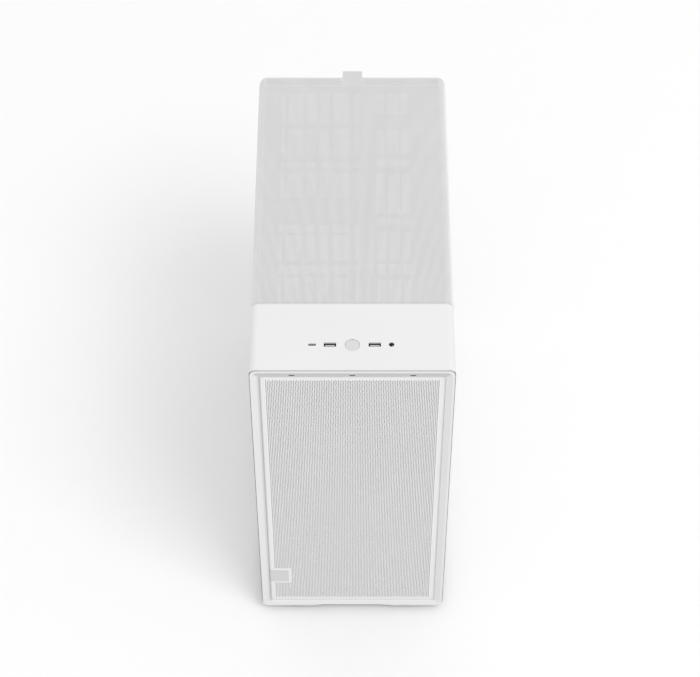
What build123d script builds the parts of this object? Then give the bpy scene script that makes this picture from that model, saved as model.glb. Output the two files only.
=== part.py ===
from build123d import *
import math
import os

os.makedirs("parts", exist_ok=True)

# ---------------------------------------------------------------------------
# Desktop computer tower, millimetres. +Z up, the front faces -Y, +X is to the
# right of someone looking at the front. Origin: floor level, middle of the
# outer box.
# ---------------------------------------------------------------------------

# overall size
width = 215.0
depth = 427.5              # front face of the bezel to the rear edge of the top panel
body_height = 460.5        # bottom edge of the bezel to the top surface
foot_height = 9.5          # floor to the bottom edge of the bezel
tab_reach = 13.0           # rear pull tab beyond the rear edge
edge_radius = 8.0          # long top edges
rear_radius = 9.5          # rear corners in plan

half_w = width / 2
front_y = -(depth + tab_reach) / 2
back_y = front_y + depth
base_z = foot_height
top_z = base_z + body_height

# skins
cap_wall = 2.2
steel = 1.0
skirt_z = 456.0            # lower edge of the cap and of the top panel
cap_front = front_y + 2.0
cap_back = front_y + 90.0
top_front = front_y + 90.4
top_hinge_y = front_y + 90.2
tab_z = 466.6              # middle of the rear pull tab

# front bezel
rim_inset = 0.6
rim_thick = 1.6
rim_radius = 7.4
bezel_depth = 22.5
panel_gap = 1.0
panel_half_w = 96.3
panel_z0 = base_z + 8.7
panel_z1 = base_z + 447.2
panel_face = front_y + 3.0
hook_x = (-63.1, 0.0, 63.2)
hook_z = base_z + 452.0
finger_half_top = 34.5
finger_half_base = 48.8
finger_height = 2.4
pin_d = 5.0
pin_positions = [(x, z) for x in (-98.5, 98.5) for z in (60.0, 235.0, 410.0)]

# front pull tag
tag_x1 = -74.9
tag_z0 = base_z + 50.5
tag_z1 = base_z + 72.9

# controls and sockets on the cap
io_y = front_y + 34.9
port_y = io_y + 0.6
button_d = 15.3
button_travel = 1.2
usb_a_x = (-23.4, 23.4)
usb_a_open = (12.5, 5.12)
usb_c_x = -42.1
usb_c_open = (8.34, 2.56)
audio_x = 40.9
audio_hole_d = 3.5

# chassis
chassis_half_w = 104.9
rear_half_w = 98.0
base_sheet_z = 12.0
front_plate_y = front_y + 26.0
rear_outer_y = back_y - 1.5
rear_inner_y = rear_outer_y - steel
top_sheet_z = 454.0
tray_x = 78.0
shroud_z = 106.0
shroud_front = front_y + 62.0

# fans
fan_size = 120.0
fan_thick = 25.0
fan_bore = 116.0
fan_hole_pitch = 105.0
fan_hole_d = 4.3
front_fan_z = (115.0, 235.0, 355.0)
rear_fan_x, rear_fan_z = -30.6, 363.0

# mainboard (305 x 244)
board_back_x = 71.6
board_thick = 1.6
board_face_x = board_back_x - board_thick
board_z0 = 119.0
board_z1 = board_z0 + 304.8
board_y1 = rear_inner_y - 2.0
board_y0 = board_y1 - 243.8
slot_pitch = 20.32
slot_z0 = board_z0 + 11.0
cpu_y, cpu_z = board_y1 - 88.0, 352.0

# power supply (150 x 86 x 150)
psu_x0, psu_x1 = -72.0, 78.0 - 0.4
psu_z0, psu_z1 = 15.0, 101.0
psu_y1 = rear_inner_y
psu_y0 = psu_y1 - 150.0
psu_fan_y = psu_y1 - 78.0
psu_mid_x = (psu_x0 + psu_x1) / 2

# dust filter under the power supply
filter_x0, filter_x1 = -71.0, 77.0
filter_z0, filter_z1 = 7.7, 11.6
filter_y0, filter_y1 = back_y - 186.0, back_y - 4.0

# graphics card in the first slot
gpu_pcb_z = slot_z0 + 6 * slot_pitch
gpu_y1 = rear_inner_y - 3.0
gpu_y0 = gpu_y1 - 246.0


def yplane(y):
    """Upright plane facing the front: local x is +X, local y is +Z."""
    return Plane(origin=(0, y, 0), x_dir=(1, 0, 0), z_dir=(0, -1, 0))


def xplane(x):
    """Upright plane facing +X: local x is +Y, local y is +Z."""
    return Plane(origin=(x, 0, 0), x_dir=(0, 1, 0), z_dir=(1, 0, 0))


def zplane(z):
    return Plane.XY.offset(z)


def bar(x0, x1, y0, y1, z0, z1, mode=Mode.ADD):
    """A straight bar between the given limits, in the part being built."""
    with Locations(((x0 + x1) / 2, (y0 + y1) / 2, (z0 + z1) / 2)):
        Box(abs(x1 - x0), abs(y1 - y0), abs(z1 - z0), mode=mode)


written = []


def keep(builder, name):
    builder.part.label = name
    export_step(builder.part, "parts/" + name + ".step")
    written.append(name)


# ---------------------------------------------------------------------------
# front bezel: flat rim, sloping recess, opening for the mesh panel
# ---------------------------------------------------------------------------
rim_z0, rim_z1 = base_z, top_z - rim_inset
rec_z0, rec_z1 = base_z + 2.0, base_z + 457.8
open_z0, open_z1 = panel_z0 - 0.5, panel_z1 + panel_gap
open_half = panel_half_w + panel_gap

with BuildPart() as front_bezel:
    with BuildSketch(yplane(front_y)):
        with Locations((0, (rim_z0 + rim_z1) / 2)):
            RectangleRounded(2 * (half_w - rim_inset), rim_z1 - rim_z0, rim_radius)
    extrude(amount=-rim_thick)
    with BuildSketch(yplane(front_y + rim_thick)):
        with Locations((0, (base_z + 2.4 + top_z - 3.2) / 2)):
            RectangleRounded(2 * (half_w - 2.9), top_z - 3.2 - base_z - 2.4, 5.0)
    extrude(amount=-(bezel_depth - rim_thick))
    # sloping recess
    with BuildSketch(yplane(front_y)):
        with Locations((0, (rec_z0 + rec_z1) / 2)):
            RectangleRounded(209.8, rec_z1 - rec_z0, 6.0)
    with BuildSketch(yplane(front_y + 2.3)):
        with Locations((0, (open_z0 + open_z1) / 2)):
            RectangleRounded(2 * open_half, open_z1 - open_z0, 3.0)
    loft(ruled=True, mode=Mode.SUBTRACT)
    # seat for the mesh panel
    with BuildSketch(yplane(front_y + 2.2)):
        with Locations((0, (open_z0 + open_z1) / 2)):
            RectangleRounded(2 * open_half, open_z1 - open_z0, 3.0)
    extrude(amount=-4.3, mode=Mode.SUBTRACT)
    with BuildSketch(yplane(front_y + 6.0)):
        with Locations((0, (open_z0 + open_z1) / 2)):
            RectangleRounded(184.6, open_z1 - open_z0 - 10.0, 2.0)
    extrude(amount=-3.0, mode=Mode.SUBTRACT)
    # hollow back
    with BuildSketch(yplane(front_y + 8.5)):
        with Locations((0, (base_z + 4.9 + 464.3) / 2)):
            RectangleRounded(204.2, 464.3 - base_z - 4.9, 3.0)
    extrude(amount=-(bezel_depth), mode=Mode.SUBTRACT)
    # catch slots for the hooks of the mesh panel, and the pockets behind them
    for hx in hook_x:
        bar(hx - 2.975, hx + 2.975, front_y - 1.0, front_y + 5.0, hook_z - 0.85, hook_z + 0.85, Mode.SUBTRACT)
        bar(hx - 4.5, hx + 4.5, front_y + 4.2, front_y + 12.0, 451.0, 464.3, Mode.SUBTRACT)
    # finger recess along the bottom edge
    with BuildSketch(yplane(front_y - 1.0)):
        with BuildLine():
            Polyline((-finger_half_base, base_z - 1.0), (-finger_half_base, base_z), (-finger_half_top, base_z + finger_height),
                     (finger_half_top, base_z + finger_height), (finger_half_base, base_z), (finger_half_base, base_z - 1.0), close=True)
        make_face()
    extrude(amount=-40.0, mode=Mode.SUBTRACT)
    # push-in mounting pins
    for px, pz in pin_positions:
        with BuildSketch(yplane(front_y + 8.0)):
            with Locations((px, pz)):
                Circle(pin_d / 2)
        extrude(amount=-28.0)
keep(front_bezel, "front_bezel")

# ---------------------------------------------------------------------------
# front mesh panel: shallow steel tray with three hooks on its top edge
# ---------------------------------------------------------------------------
panel_mid_z = (panel_z0 + panel_z1) / 2
panel_h = panel_z1 - panel_z0
with BuildPart() as front_mesh_panel:
    with BuildSketch(yplane(panel_face)):
        with Locations((0, panel_mid_z)):
            RectangleRounded(2 * panel_half_w, panel_h, 2.2)
    extrude(amount=-1.0)
    with BuildSketch(yplane(panel_face + 0.9)):
        with Locations((0, panel_mid_z)):
            RectangleRounded(2 * panel_half_w, panel_h, 2.2)
            RectangleRounded(2 * panel_half_w - 3.0, panel_h - 3.0, 1.2, mode=Mode.SUBTRACT)
    extrude(amount=-2.3)
    for hx in hook_x:
        bar(hx - 2.5, hx + 2.5, front_y + 4.8, front_y + 6.0, panel_z1 - 3.0, panel_z1 + 6.0)
keep(front_mesh_panel, "front_mesh_panel")

with BuildPart() as front_pull_tag:
    bar(-97.0, tag_x1, panel_face - 0.8, panel_face, tag_z0, tag_z1)
    bar(-97.0, -panel_half_w, panel_face - 0.1, panel_face + 3.0, tag_z0, tag_z1)
    fillet(front_pull_tag.edges().filter_by(Axis.Y).sort_by(Axis.X)[-2:], radius=0.8)
keep(front_pull_tag, "front_pull_tag")

# ---------------------------------------------------------------------------
# top cap: smooth cover over the sockets, open below and at both ends
# ---------------------------------------------------------------------------
with BuildPart() as top_cap:
    with BuildSketch(yplane(cap_front)) as cap_outer:
        with Locations((0, (skirt_z + top_z) / 2)):
            Rectangle(width, top_z - skirt_z)
        fillet(cap_outer.vertices().group_by(Axis.Y)[-1], radius=edge_radius)
    extrude(amount=-(cap_back - cap_front))
    with BuildSketch(yplane(cap_front - 1)) as cap_inner:
        with Locations((0, (skirt_z - 5 + top_z - cap_wall) / 2)):
            Rectangle(width - 2 * cap_wall, top_z - cap_wall - skirt_z + 5)
        fillet(cap_inner.vertices().group_by(Axis.Y)[-1], radius=edge_radius - cap_wall)
    extrude(amount=-(cap_back - cap_front + 2), mode=Mode.SUBTRACT)
    # guide ring of the power button and two bosses for the socket board
    with BuildSketch(zplane(462.0)):
        with Locations((0, io_y)):
            Circle(11.4)
            Circle(10.2, mode=Mode.SUBTRACT)
    extrude(amount=5.9)
    with BuildSketch(zplane(453.6)):
        with Locations((-52.0, front_y + 44.0), (52.0, front_y + 44.0)):
            Circle(3.0)
    extrude(amount=14.3)
    # openings
    with BuildSketch(zplane(top_z + 1)):
        with Locations((0, io_y)):
            Circle(button_d / 2 + 0.25)
        with Locations(*[(x, port_y) for x in usb_a_x]):
            RectangleRounded(usb_a_open[0] + 0.4, usb_a_open[1] + 0.4, 0.4)
        with Locations((usb_c_x, port_y)):
            SlotOverall(usb_c_open[0] + 0.4, usb_c_open[1] + 0.4)
        with Locations((audio_x, port_y)):
            Circle(2.9)
    extrude(amount=-5.0, mode=Mode.SUBTRACT)
keep(top_cap, "top_cap")

# ---------------------------------------------------------------------------
# power button, its light, and the switch under it
# ---------------------------------------------------------------------------
with BuildPart() as power_button:
    with BuildSketch(zplane(466.1)):
        with Locations((0, io_y)):
            Circle(9.7)
    extrude(amount=1.3)
    with BuildSketch(zplane(467.3)):
        with Locations((0, io_y)):
            Circle(button_d / 2)
    extrude(amount=2.5)
    with BuildSketch(zplane(459.3)):
        with Locations((0, io_y)):
            Circle(2.2)
    extrude(amount=7.0)
    with BuildSketch(zplane(465.0)):
        with Locations((0, io_y + 6.9)):
            Circle(0.6)
    extrude(amount=6.0, mode=Mode.SUBTRACT)
    fillet(power_button.edges().filter_by(GeomType.CIRCLE).group_by(Axis.Z)[-1].sort_by(SortBy.RADIUS)[-1:], radius=0.4)
keep(power_button, "power_button")

with BuildPart() as power_light:
    with BuildSketch(zplane(466.2)):
        with Locations((0, io_y + 6.9)):
            Circle(0.57)
    extrude(amount=3.5)
keep(power_light, "power_light")

with BuildPart() as power_switch:
    bar(-3.0, 3.0, io_y - 3.0, io_y + 3.0, 453.6, 457.0)
    with BuildSketch(zplane(457.0)):
        with Locations((0, io_y)):
            Circle(1.75)
    extrude(amount=0.8)
keep(power_switch, "power_switch")

# ---------------------------------------------------------------------------
# socket board and its sockets
# ---------------------------------------------------------------------------
with BuildPart() as io_board:
    bar(-57.0, 57.0, front_y + 30.8, front_y + 49.0, 452.0, 453.6)
keep(io_board, "io_board")

with BuildPart() as usb_a_sockets:
    for ux in usb_a_x:
        bar(ux - usb_a_open[0] / 2 - 0.3, ux + usb_a_open[0] / 2 + 0.3, port_y - usb_a_open[1] / 2 - 0.3,
            port_y + usb_a_open[1] / 2 + 0.3, 453.6, 467.6)
        bar(ux - usb_a_open[0] / 2, ux + usb_a_open[0] / 2, port_y - usb_a_open[1] / 2,
            port_y + usb_a_open[1] / 2, 455.6, 468.0, Mode.SUBTRACT)
        bar(ux - 5.3, ux + 5.3, port_y - 1.9, port_y + 0.0, 455.0, 469.2)
keep(usb_a_sockets, "usb_a_sockets")

with BuildPart() as usb_c_socket:
    with BuildSketch(zplane(453.6)):
        with Locations((usb_c_x, port_y)):
            SlotOverall(usb_c_open[0] + 0.6, usb_c_open[1] + 0.6)
    extrude(amount=14.0)
    with BuildSketch(zplane(467.6)):
        with Locations((usb_c_x, port_y)):
            SlotOverall(usb_c_open[0], usb_c_open[1])
    extrude(amount=-6.5, mode=Mode.SUBTRACT)
    bar(usb_c_x - 3.3, usb_c_x + 3.3, port_y - 0.35, port_y + 0.35, 461.0, 468.8)
keep(usb_c_socket, "usb_c_socket")

with BuildPart() as audio_socket:
    bar(audio_x - 3.4, audio_x + 3.4, port_y - 3.0, port_y + 3.0, 453.6, 466.0)
    with BuildSketch(zplane(466.0)):
        with Locations((audio_x, port_y)):
            Circle(2.7)
    extrude(amount=3.6)
    with BuildSketch(zplane(469.6)):
        with Locations((audio_x, port_y)):
            Circle(audio_hole_d / 2)
    extrude(amount=-14.0, mode=Mode.SUBTRACT)
keep(audio_socket, "audio_socket")

# ---------------------------------------------------------------------------
# top mesh panel: steel tray that closes the top, hooked under the cap
# ---------------------------------------------------------------------------
def top_shell(inset, below):
    """Arch over the full width, cut to the plan outline with its rounded rear corners."""
    with BuildPart() as shell:
        with BuildSketch(zplane(skirt_z - below)) as plan:
            with Locations((0, (top_front - 5 * below + back_y - inset) / 2)):
                Rectangle(width - 2 * inset, back_y - inset - top_front + 5 * below)
            fillet(plan.vertices().group_by(Axis.Y)[-1], radius=rear_radius - inset)
        extrude(amount=top_z - skirt_z + below)
        with BuildSketch(yplane(top_front - 10)) as profile:
            with Locations((0, (skirt_z - 5 + top_z - inset) / 2)):
                Rectangle(width - 2 * inset, top_z - inset - skirt_z + 5)
            fillet(profile.vertices().group_by(Axis.Y)[-1], radius=edge_radius - inset)
        extrude(amount=-(depth + 20), mode=Mode.INTERSECT)
    return shell.part


with BuildPart() as top_mesh_panel:
    add(top_shell(0.0, 0.0))
    add(top_shell(steel, 1.0), mode=Mode.SUBTRACT)
    # slot for the pull tab and three front hooks
    bar(-12.2, 12.2, back_y - 4.5, back_y + 1.0, tab_z - 1.7, tab_z + 1.7, Mode.SUBTRACT)
    for hx in (-70.0, 0.0, 70.0):
        bar(hx - 6.0, hx + 6.0, top_front + 1.5, top_front + 6.0, 465.6, 469.2)
        bar(hx - 6.0, hx + 6.0, top_front - 8.5, top_front + 6.0, 465.6, 466.8)
keep(top_mesh_panel, "top_mesh_panel")

with BuildPart() as rear_pull_tab:
    bar(-11.2, 11.2, back_y - 7.0, back_y + tab_reach, tab_z - 1.2, tab_z + 1.2)
    fillet(rear_pull_tab.edges().filter_by(Axis.X).group_by(Axis.Y)[-1], radius=1.1)
    bar(-13.4, 13.4, back_y - 9.0, back_y - 5.5, tab_z - 1.8, tab_z + 1.8)
keep(rear_pull_tab, "rear_pull_tab")

# ---------------------------------------------------------------------------
# side panels: steel trays with a hemmed front edge and ball studs
# ---------------------------------------------------------------------------
stud_z = (60.0, 235.0, 410.0)
stud_front_y = front_y + 42.0
stud_rear_y = back_y - 20.0
side_z0, side_z1 = 11.0, 455.6


with BuildPart() as left_side_panel:
    with BuildSketch(zplane(side_z0)) as side_outline:
        with Locations((-(half_w + 92.0) / 2, (cap_front + back_y) / 2)):
            Rectangle(half_w - 92.0, back_y - cap_front)
        fillet(side_outline.vertices().group_by(Axis.Y)[-1].sort_by(Axis.X)[:1], radius=rear_radius)
    extrude(amount=side_z1 - side_z0)
    with BuildSketch(zplane(side_z0 - 1)) as side_hollow:
        with Locations((-(half_w - steel + 85.0) / 2, (cap_front - 5 + back_y - steel) / 2)):
            Rectangle(half_w - steel - 85.0, back_y - steel - cap_front + 5)
        fillet(side_hollow.vertices().group_by(Axis.Y)[-1].sort_by(Axis.X)[:1], radius=rear_radius - steel)
    extrude(amount=side_z1 - side_z0 + 2, mode=Mode.SUBTRACT)
    # hems along the front, bottom and top edges
    bar(-half_w + 0.5, -half_w + 2.0, cap_front, cap_front + 9.0, side_z0, side_z1)
    bar(-half_w + 0.5, -half_w + 2.0, cap_front, back_y - rear_radius, side_z0, side_z0 + 9.0)
    bar(-half_w + 0.5, -half_w + 2.0, cap_front, back_y - rear_radius, side_z1 - 9.0, side_z1)
    # ball studs
    for yy, x_end in ((stud_front_y, 101.4), (stud_rear_y, 94.5)):
        for zz in stud_z:
            with BuildSketch(xplane(-half_w + 0.5)):
                with Locations((yy, zz)):
                    Circle(2.2)
            extrude(amount=half_w - 0.5 - x_end)
            with Locations((-x_end, yy, zz)):
                Sphere(3.0)
keep(left_side_panel, "left_side_panel")

with BuildPart() as right_side_panel:
    add(left_side_panel.part.mirror(Plane.YZ))
keep(right_side_panel, "right_side_panel")

# plastic sockets in the chassis flanges that grip the ball studs
with BuildPart() as snap_sockets:
    for s in (-1, 1):
        for yy, x_face in ((stud_front_y, 104.9), (stud_rear_y, 98.0)):
            with BuildSketch(xplane(s * (x_face + 0.4))):
                with Locations(*[(yy, zz) for zz in stud_z]):
                    Circle(4.5)
                    Circle(3.35, mode=Mode.SUBTRACT)
            extrude(amount=-s * 7.0)
keep(snap_sockets, "snap_sockets")

# ---------------------------------------------------------------------------
# chassis sheets
# ---------------------------------------------------------------------------
with BuildPart() as chassis_base:
    with BuildSketch(zplane(base_sheet_z)) as base_outline:
        with Locations((0, (front_plate_y + steel + rear_inner_y) / 2)):
            Rectangle(2 * chassis_half_w, rear_inner_y - front_plate_y - steel)
        fillet(base_outline.vertices().group_by(Axis.Y)[-1], radius=8.0)
    extrude(amount=steel)
    for s in (-1, 1):
        bar(s * (chassis_half_w - steel), s * chassis_half_w, front_plate_y + steel, back_y - 16.0, base_sheet_z, 27.0)
        # rails that carry the dust filter
        rx = filter_x1 + 0.4 if s > 0 else filter_x0 - 0.4
        bar(rx, rx + s * 1.0, filter_y0 - 2.0, rear_inner_y, 6.4, base_sheet_z + 0.1)
        bar(rx - s * 3.4, rx + s * 1.0, filter_y0 - 2.0, rear_inner_y, 6.4, 7.3)
    # intake under the power supply: nine windows
    with BuildSketch(zplane(base_sheet_z)):
        with Locations((psu_mid_x, psu_fan_y)):
            with GridLocations(42.0, 42.0, 3, 3):
                RectangleRounded(38.0, 38.0, 3.0)
    extrude(amount=steel, mode=Mode.SUBTRACT)
keep(chassis_base, "chassis_base")

vent_pitch = 8.6
vent_points = []
for row in range(-7, 8):
    for col in range(-7, 8):
        vx = col * vent_pitch + (vent_pitch / 2 if row % 2 else 0.0)
        vz = row * vent_pitch * math.sqrt(3) / 2
        if math.hypot(vx, vz) < 52.5:
            vent_points.append((rear_fan_x + vx, rear_fan_z + vz))

with BuildPart() as chassis_rear_panel:
    with BuildSketch(yplane(rear_inner_y)):
        with Locations((0, (13.0 + 454.0) / 2)):
            Rectangle(2 * rear_half_w, 441.0)
        # socket window of the mainboard, slot windows, power supply window
        with Locations(((30.0 + 74.45) / 2, (265.0 + 423.75) / 2)):
            Rectangle(44.45, 158.75, mode=Mode.SUBTRACT)
        with Locations(*[(8.5, slot_z0 + k * slot_pitch) for k in range(7)]):
            Rectangle(105.0, 12.5, mode=Mode.SUBTRACT)
        with Locations((psu_mid_x, 58.0)):
            Rectangle(138.0, 74.0, mode=Mode.SUBTRACT)
        # fan vent and its four screw holes
        with Locations(*vent_points):
            RegularPolygon(4.2, 6, rotation=30, mode=Mode.SUBTRACT)
        with Locations((rear_fan_x, rear_fan_z)):
            with GridLocations(fan_hole_pitch, fan_hole_pitch, 2, 2):
                Circle(2.2, mode=Mode.SUBTRACT)
        with Locations(*[(x, z) for x in (psu_mid_x - 69.0, psu_mid_x + 69.0) for z in (psu_z0 + 6.0,)],
                       (psu_mid_x - 69.0, psu_z1 - 6.0), (psu_mid_x + 69.0, psu_z1 - 16.0)):
            Circle(1.9, mode=Mode.SUBTRACT)
    extrude(amount=-steel)
    for s in (-1, 1):
        bar(s * (rear_half_w - steel), s * rear_half_w, back_y - 32.0, rear_inner_y + 0.5, 13.0, 454.0)
        with BuildSketch(xplane(s * (rear_half_w + 1.0))):
            with Locations(*[(stud_rear_y, zz) for zz in stud_z]):
                Circle(4.5)
        extrude(amount=-s * 3.0, mode=Mode.SUBTRACT)
keep(chassis_rear_panel, "chassis_rear_panel")

# front plate: one tall opening for the three intake fans
with BuildPart() as chassis_front_plate:
    with BuildSketch(yplane(front_plate_y)):
        with Locations((0, (13.0 + 454.0) / 2)):
            Rectangle(2 * chassis_half_w, 441.0)
        with Locations((0, 235.0)):
            RectangleRounded(116.0, 356.0, 6.0, mode=Mode.SUBTRACT)
        with Locations(*pin_positions):
            Circle(pin_d / 2 + 0.4, mode=Mode.SUBTRACT)
    extrude(amount=-steel)
    for s in (-1, 1):
        bar(s * (chassis_half_w - steel), s * chassis_half_w, front_plate_y, front_plate_y + 24.0, 27.3, 439.7)
        with BuildSketch(xplane(s * (chassis_half_w + 1.0))):
            with Locations(*[(stud_front_y, zz) for zz in stud_z]):
                Circle(4.5)
        extrude(amount=-s * 3.0, mode=Mode.SUBTRACT)
keep(chassis_front_plate, "chassis_front_plate")

# top plate: slotted to carry fans or a radiator; the slot rows are not alike
slot_rows_left = ((368.0, 417.0), (321.5, 360.5), (300.5, 308.5), (254.5, 292.0), (203.0, 214.5), (163.0, 200.0), (144.0, 156.0), (100.0, 140.0))
slot_cols_left = ((-80.5, -77.0), (-73.5, -57.0), (-51.0, -41.5), (-36.5, -26.5), (-21.5, -4.5), (2.6, 8.0))
slot_rows_right = ((383.0, 417.0), (321.5, 358.5), (301.0, 313.0), (231.5, 292.0), (214.5, 224.5), (165.0, 205.0), (143.5, 158.0), (100.0, 136.0))
slot_cols_right = ((26.5, 36.5), (40.0, 52.5), (55.5, 64.0))
with BuildPart() as chassis_top_plate:
    with BuildSketch(zplane(top_sheet_z)) as top_outline:
        with Locations((0, (front_plate_y + steel + rear_inner_y) / 2)):
            Rectangle(2 * chassis_half_w, rear_inner_y - front_plate_y - steel)
        fillet(top_outline.vertices().group_by(Axis.Y)[-1], radius=8.0)
    extrude(amount=steel)
    for s in (-1, 1):
        bar(s * (chassis_half_w - steel), s * chassis_half_w, front_plate_y + steel, back_y - 16.0, 440.0, top_sheet_z + 0.5)
    with BuildSketch(zplane(top_sheet_z)):
        for rows, cols in ((slot_rows_left, slot_cols_left), (slot_rows_right, slot_cols_right)):
            for r0, r1 in rows:
                for c0, c1 in cols:
                    with Locations(((c0 + c1) / 2, front_y + (r0 + r1) / 2)):
                        RectangleRounded(c1 - c0, r1 - r0, 1.2)
        # window over the socket board
        with Locations((0, front_y + 40.2)):
            RectangleRounded(124.0, 20.4, 3.0)
    extrude(amount=steel, mode=Mode.SUBTRACT)
keep(chassis_top_plate, "chassis_top_plate")

# tray that carries the mainboard
with BuildPart() as motherboard_tray:
    with BuildSketch(xplane(tray_x)):
        with Locations(((shroud_front - 6.0 + rear_inner_y) / 2, (13.0 + 454.0) / 2)):
            Rectangle(rear_inner_y - shroud_front + 6.0, 441.0)
        with Locations((cpu_y, cpu_z)):
            RectangleRounded(120.0, 104.0, 8.0, mode=Mode.SUBTRACT)
        with Locations(*[(board_y0 - 22.0, z) for z in (165.0, 265.0, 365.0)]):
            RectangleRounded(26.0, 60.0, 8.0, mode=Mode.SUBTRACT)
        with Locations((board_y0 - 22.0, 80.0)):
            RectangleRounded(34.0, 44.0, 8.0, mode=Mode.SUBTRACT)
    extrude(amount=steel)
keep(motherboard_tray, "motherboard_tray")

# cover over the power supply
with BuildPart() as psu_shroud:
    bar(-97.0, tray_x - 0.2, shroud_front, rear_inner_y - 0.2, shroud_z, shroud_z + steel)
    bar(-97.0, -96.0, shroud_front, back_y - 34.0, 13.0, shroud_z + steel)
    with BuildSketch(zplane(shroud_z)):
        with Locations((-10.0, -20.0)):
            with GridLocations(18.0, 62.0, 7, 3):
                SlotOverall(46.0, 6.0, rotation=90)
    extrude(amount=steel, mode=Mode.SUBTRACT)
keep(psu_shroud, "psu_shroud")

# ---------------------------------------------------------------------------
# feet
# ---------------------------------------------------------------------------
foot_points = [(x, y) for x in (-91.5, 91.5) for y in (front_y + 62.0, back_y - 52.0)]
with BuildPart() as feet:
    with BuildSketch(zplane(1.5)):
        with Locations(*foot_points):
            SlotOverall(60.0, 20.0, rotation=90)
    extrude(amount=base_sheet_z - 1.5)
    with BuildSketch(zplane(1.5)):
        with Locations(*foot_points):
            SlotOverall(54.0, 14.0, rotation=90)
    extrude(amount=1.5, mode=Mode.SUBTRACT)
keep(feet, "feet")
with BuildPart() as foot_pads:
    with BuildSketch(zplane(0)):
        with Locations(*foot_points):
            SlotOverall(53.4, 13.4, rotation=90)
    extrude(amount=3.0)
keep(foot_pads, "foot_pads")

# ---------------------------------------------------------------------------
# dust filter: frame with a fine sheet, and a grip at the rear
# ---------------------------------------------------------------------------
with BuildPart() as dust_filter:
    bar(filter_x0, filter_x1, filter_y0, filter_y1, filter_z0, filter_z1)
    for k in range(3):
        for m in range(3):
            cx = psu_mid_x + (k - 1) * 44.0
            cy = (filter_y0 + filter_y1 - 14) / 2 + (m - 1) * 54.0
            bar(cx - 20.0, cx + 20.0, cy - 25.0, cy + 25.0, filter_z0 - 1, filter_z1 - 0.8, Mode.SUBTRACT)
    bar(-25.0, 31.0, filter_y1 - 9.0, filter_y1 - 1.5, filter_z0 - 1.0, filter_z0 + 2.0, Mode.SUBTRACT)
keep(dust_filter, "dust_filter")


# ---------------------------------------------------------------------------
# fans
# ---------------------------------------------------------------------------
def fan_frame(pl, size=fan_size, thick=fan_thick, bore=fan_bore, pitch=fan_hole_pitch):
    """Square fan frame on plane pl, reaching thick along its normal. The motor
    carrier and its four arms are at the far side."""
    with BuildPart() as frame:
        with BuildSketch(pl):
            RectangleRounded(size, size, 6.0)
            Circle(bore / 2, mode=Mode.SUBTRACT)
            with GridLocations(pitch, pitch, 2, 2):
                Circle(fan_hole_d / 2, mode=Mode.SUBTRACT)
        extrude(amount=thick)
        # waist between the two flanges
        with BuildSketch(pl.offset(4.0)):
            RectangleRounded(size + 2, size + 2, 7.0)
            Circle(bore / 2 + 1.9, mode=Mode.SUBTRACT)
            with GridLocations(pitch, pitch, 2, 2):
                Circle(5.0, mode=Mode.SUBTRACT)
        extrude(amount=thick - 8.0, mode=Mode.SUBTRACT)
        # motor carrier with four arms
        with BuildSketch(pl.offset(thick - 3.0)):
            Circle(21.0)
            with PolarLocations(0, 4, start_angle=20):
                with Locations((bore / 4 + 8.0, 0)):
                    Rectangle(bore / 2 - 14.0, 5.0)
        extrude(amount=3.0)
        # bearing tube
        with BuildSketch(pl.offset(thick - 14.0)):
            Circle(4.5)
        extrude(amount=12.0)
        with BuildSketch(pl.offset(thick - 14.0)):
            Circle(1.55)
        extrude(amount=12.5, mode=Mode.SUBTRACT)
    return frame


def fan_rotor(pl, blades=9, tip=55.0, thick=fan_thick, cup=20.0):
    """Rotor for fan_frame: cup, shaft and twisted blades, turning on pl's normal."""
    with BuildPart() as rotor:
        with BuildSketch(pl.offset(2.0)):
            Circle(cup)
        extrude(amount=thick - 6.5)
        with BuildSketch(pl.offset(4.0)):
            Circle(cup - 1.5)
        extrude(amount=thick - 8.0, mode=Mode.SUBTRACT)
        with BuildSketch(pl.offset(3.0)):
            Circle(1.5)
        extrude(amount=thick - 7.0)
        mid = (2.0 + thick - 4.5) / 2
        for k in range(blades):
            a = 2 * math.pi * k / blades
            radial = pl.x_dir * math.cos(a) + pl.y_dir * math.sin(a)
            tangent = pl.y_dir * math.cos(a) - pl.x_dir * math.sin(a)
            # blade section planes stand square to the radius; twist falls outward
            for r, half, pitch in ((cup - 0.7, 7.5, 42.0), (tip, 16.5, 27.0)):
                c = math.cos(math.radians(pitch))
                s = math.sin(math.radians(pitch))
                along = tangent * c + pl.z_dir * s
                sec = Plane(origin=pl.origin + pl.z_dir * mid + radial * r, x_dir=along, z_dir=radial)
                with BuildSketch(sec):
                    Rectangle(2 * half, 1.6)
            loft(ruled=True)
    return rotor


def fan_pair(prefix, frame_name, rotor_name, pl, **kw):
    f = fan_frame(pl)
    keep(f, frame_name)
    r = fan_rotor(pl, **kw)
    keep(r, rotor_name)


front_fan_y = front_plate_y + steel
for name, fz in (("bottom", front_fan_z[0]), ("middle", front_fan_z[1]), ("top", front_fan_z[2])):
    pl = Plane(origin=(0, front_fan_y, fz), x_dir=(1, 0, 0), z_dir=(0, 1, 0))
    fan_pair("front", "front_fan_frame_" + name, "front_fan_rotor_" + name, pl)
fan_pair("rear", "rear_fan_frame", "rear_fan_rotor",
         Plane(origin=(rear_fan_x, rear_inner_y - fan_thick, rear_fan_z), x_dir=(1, 0, 0), z_dir=(0, 1, 0)))

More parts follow.
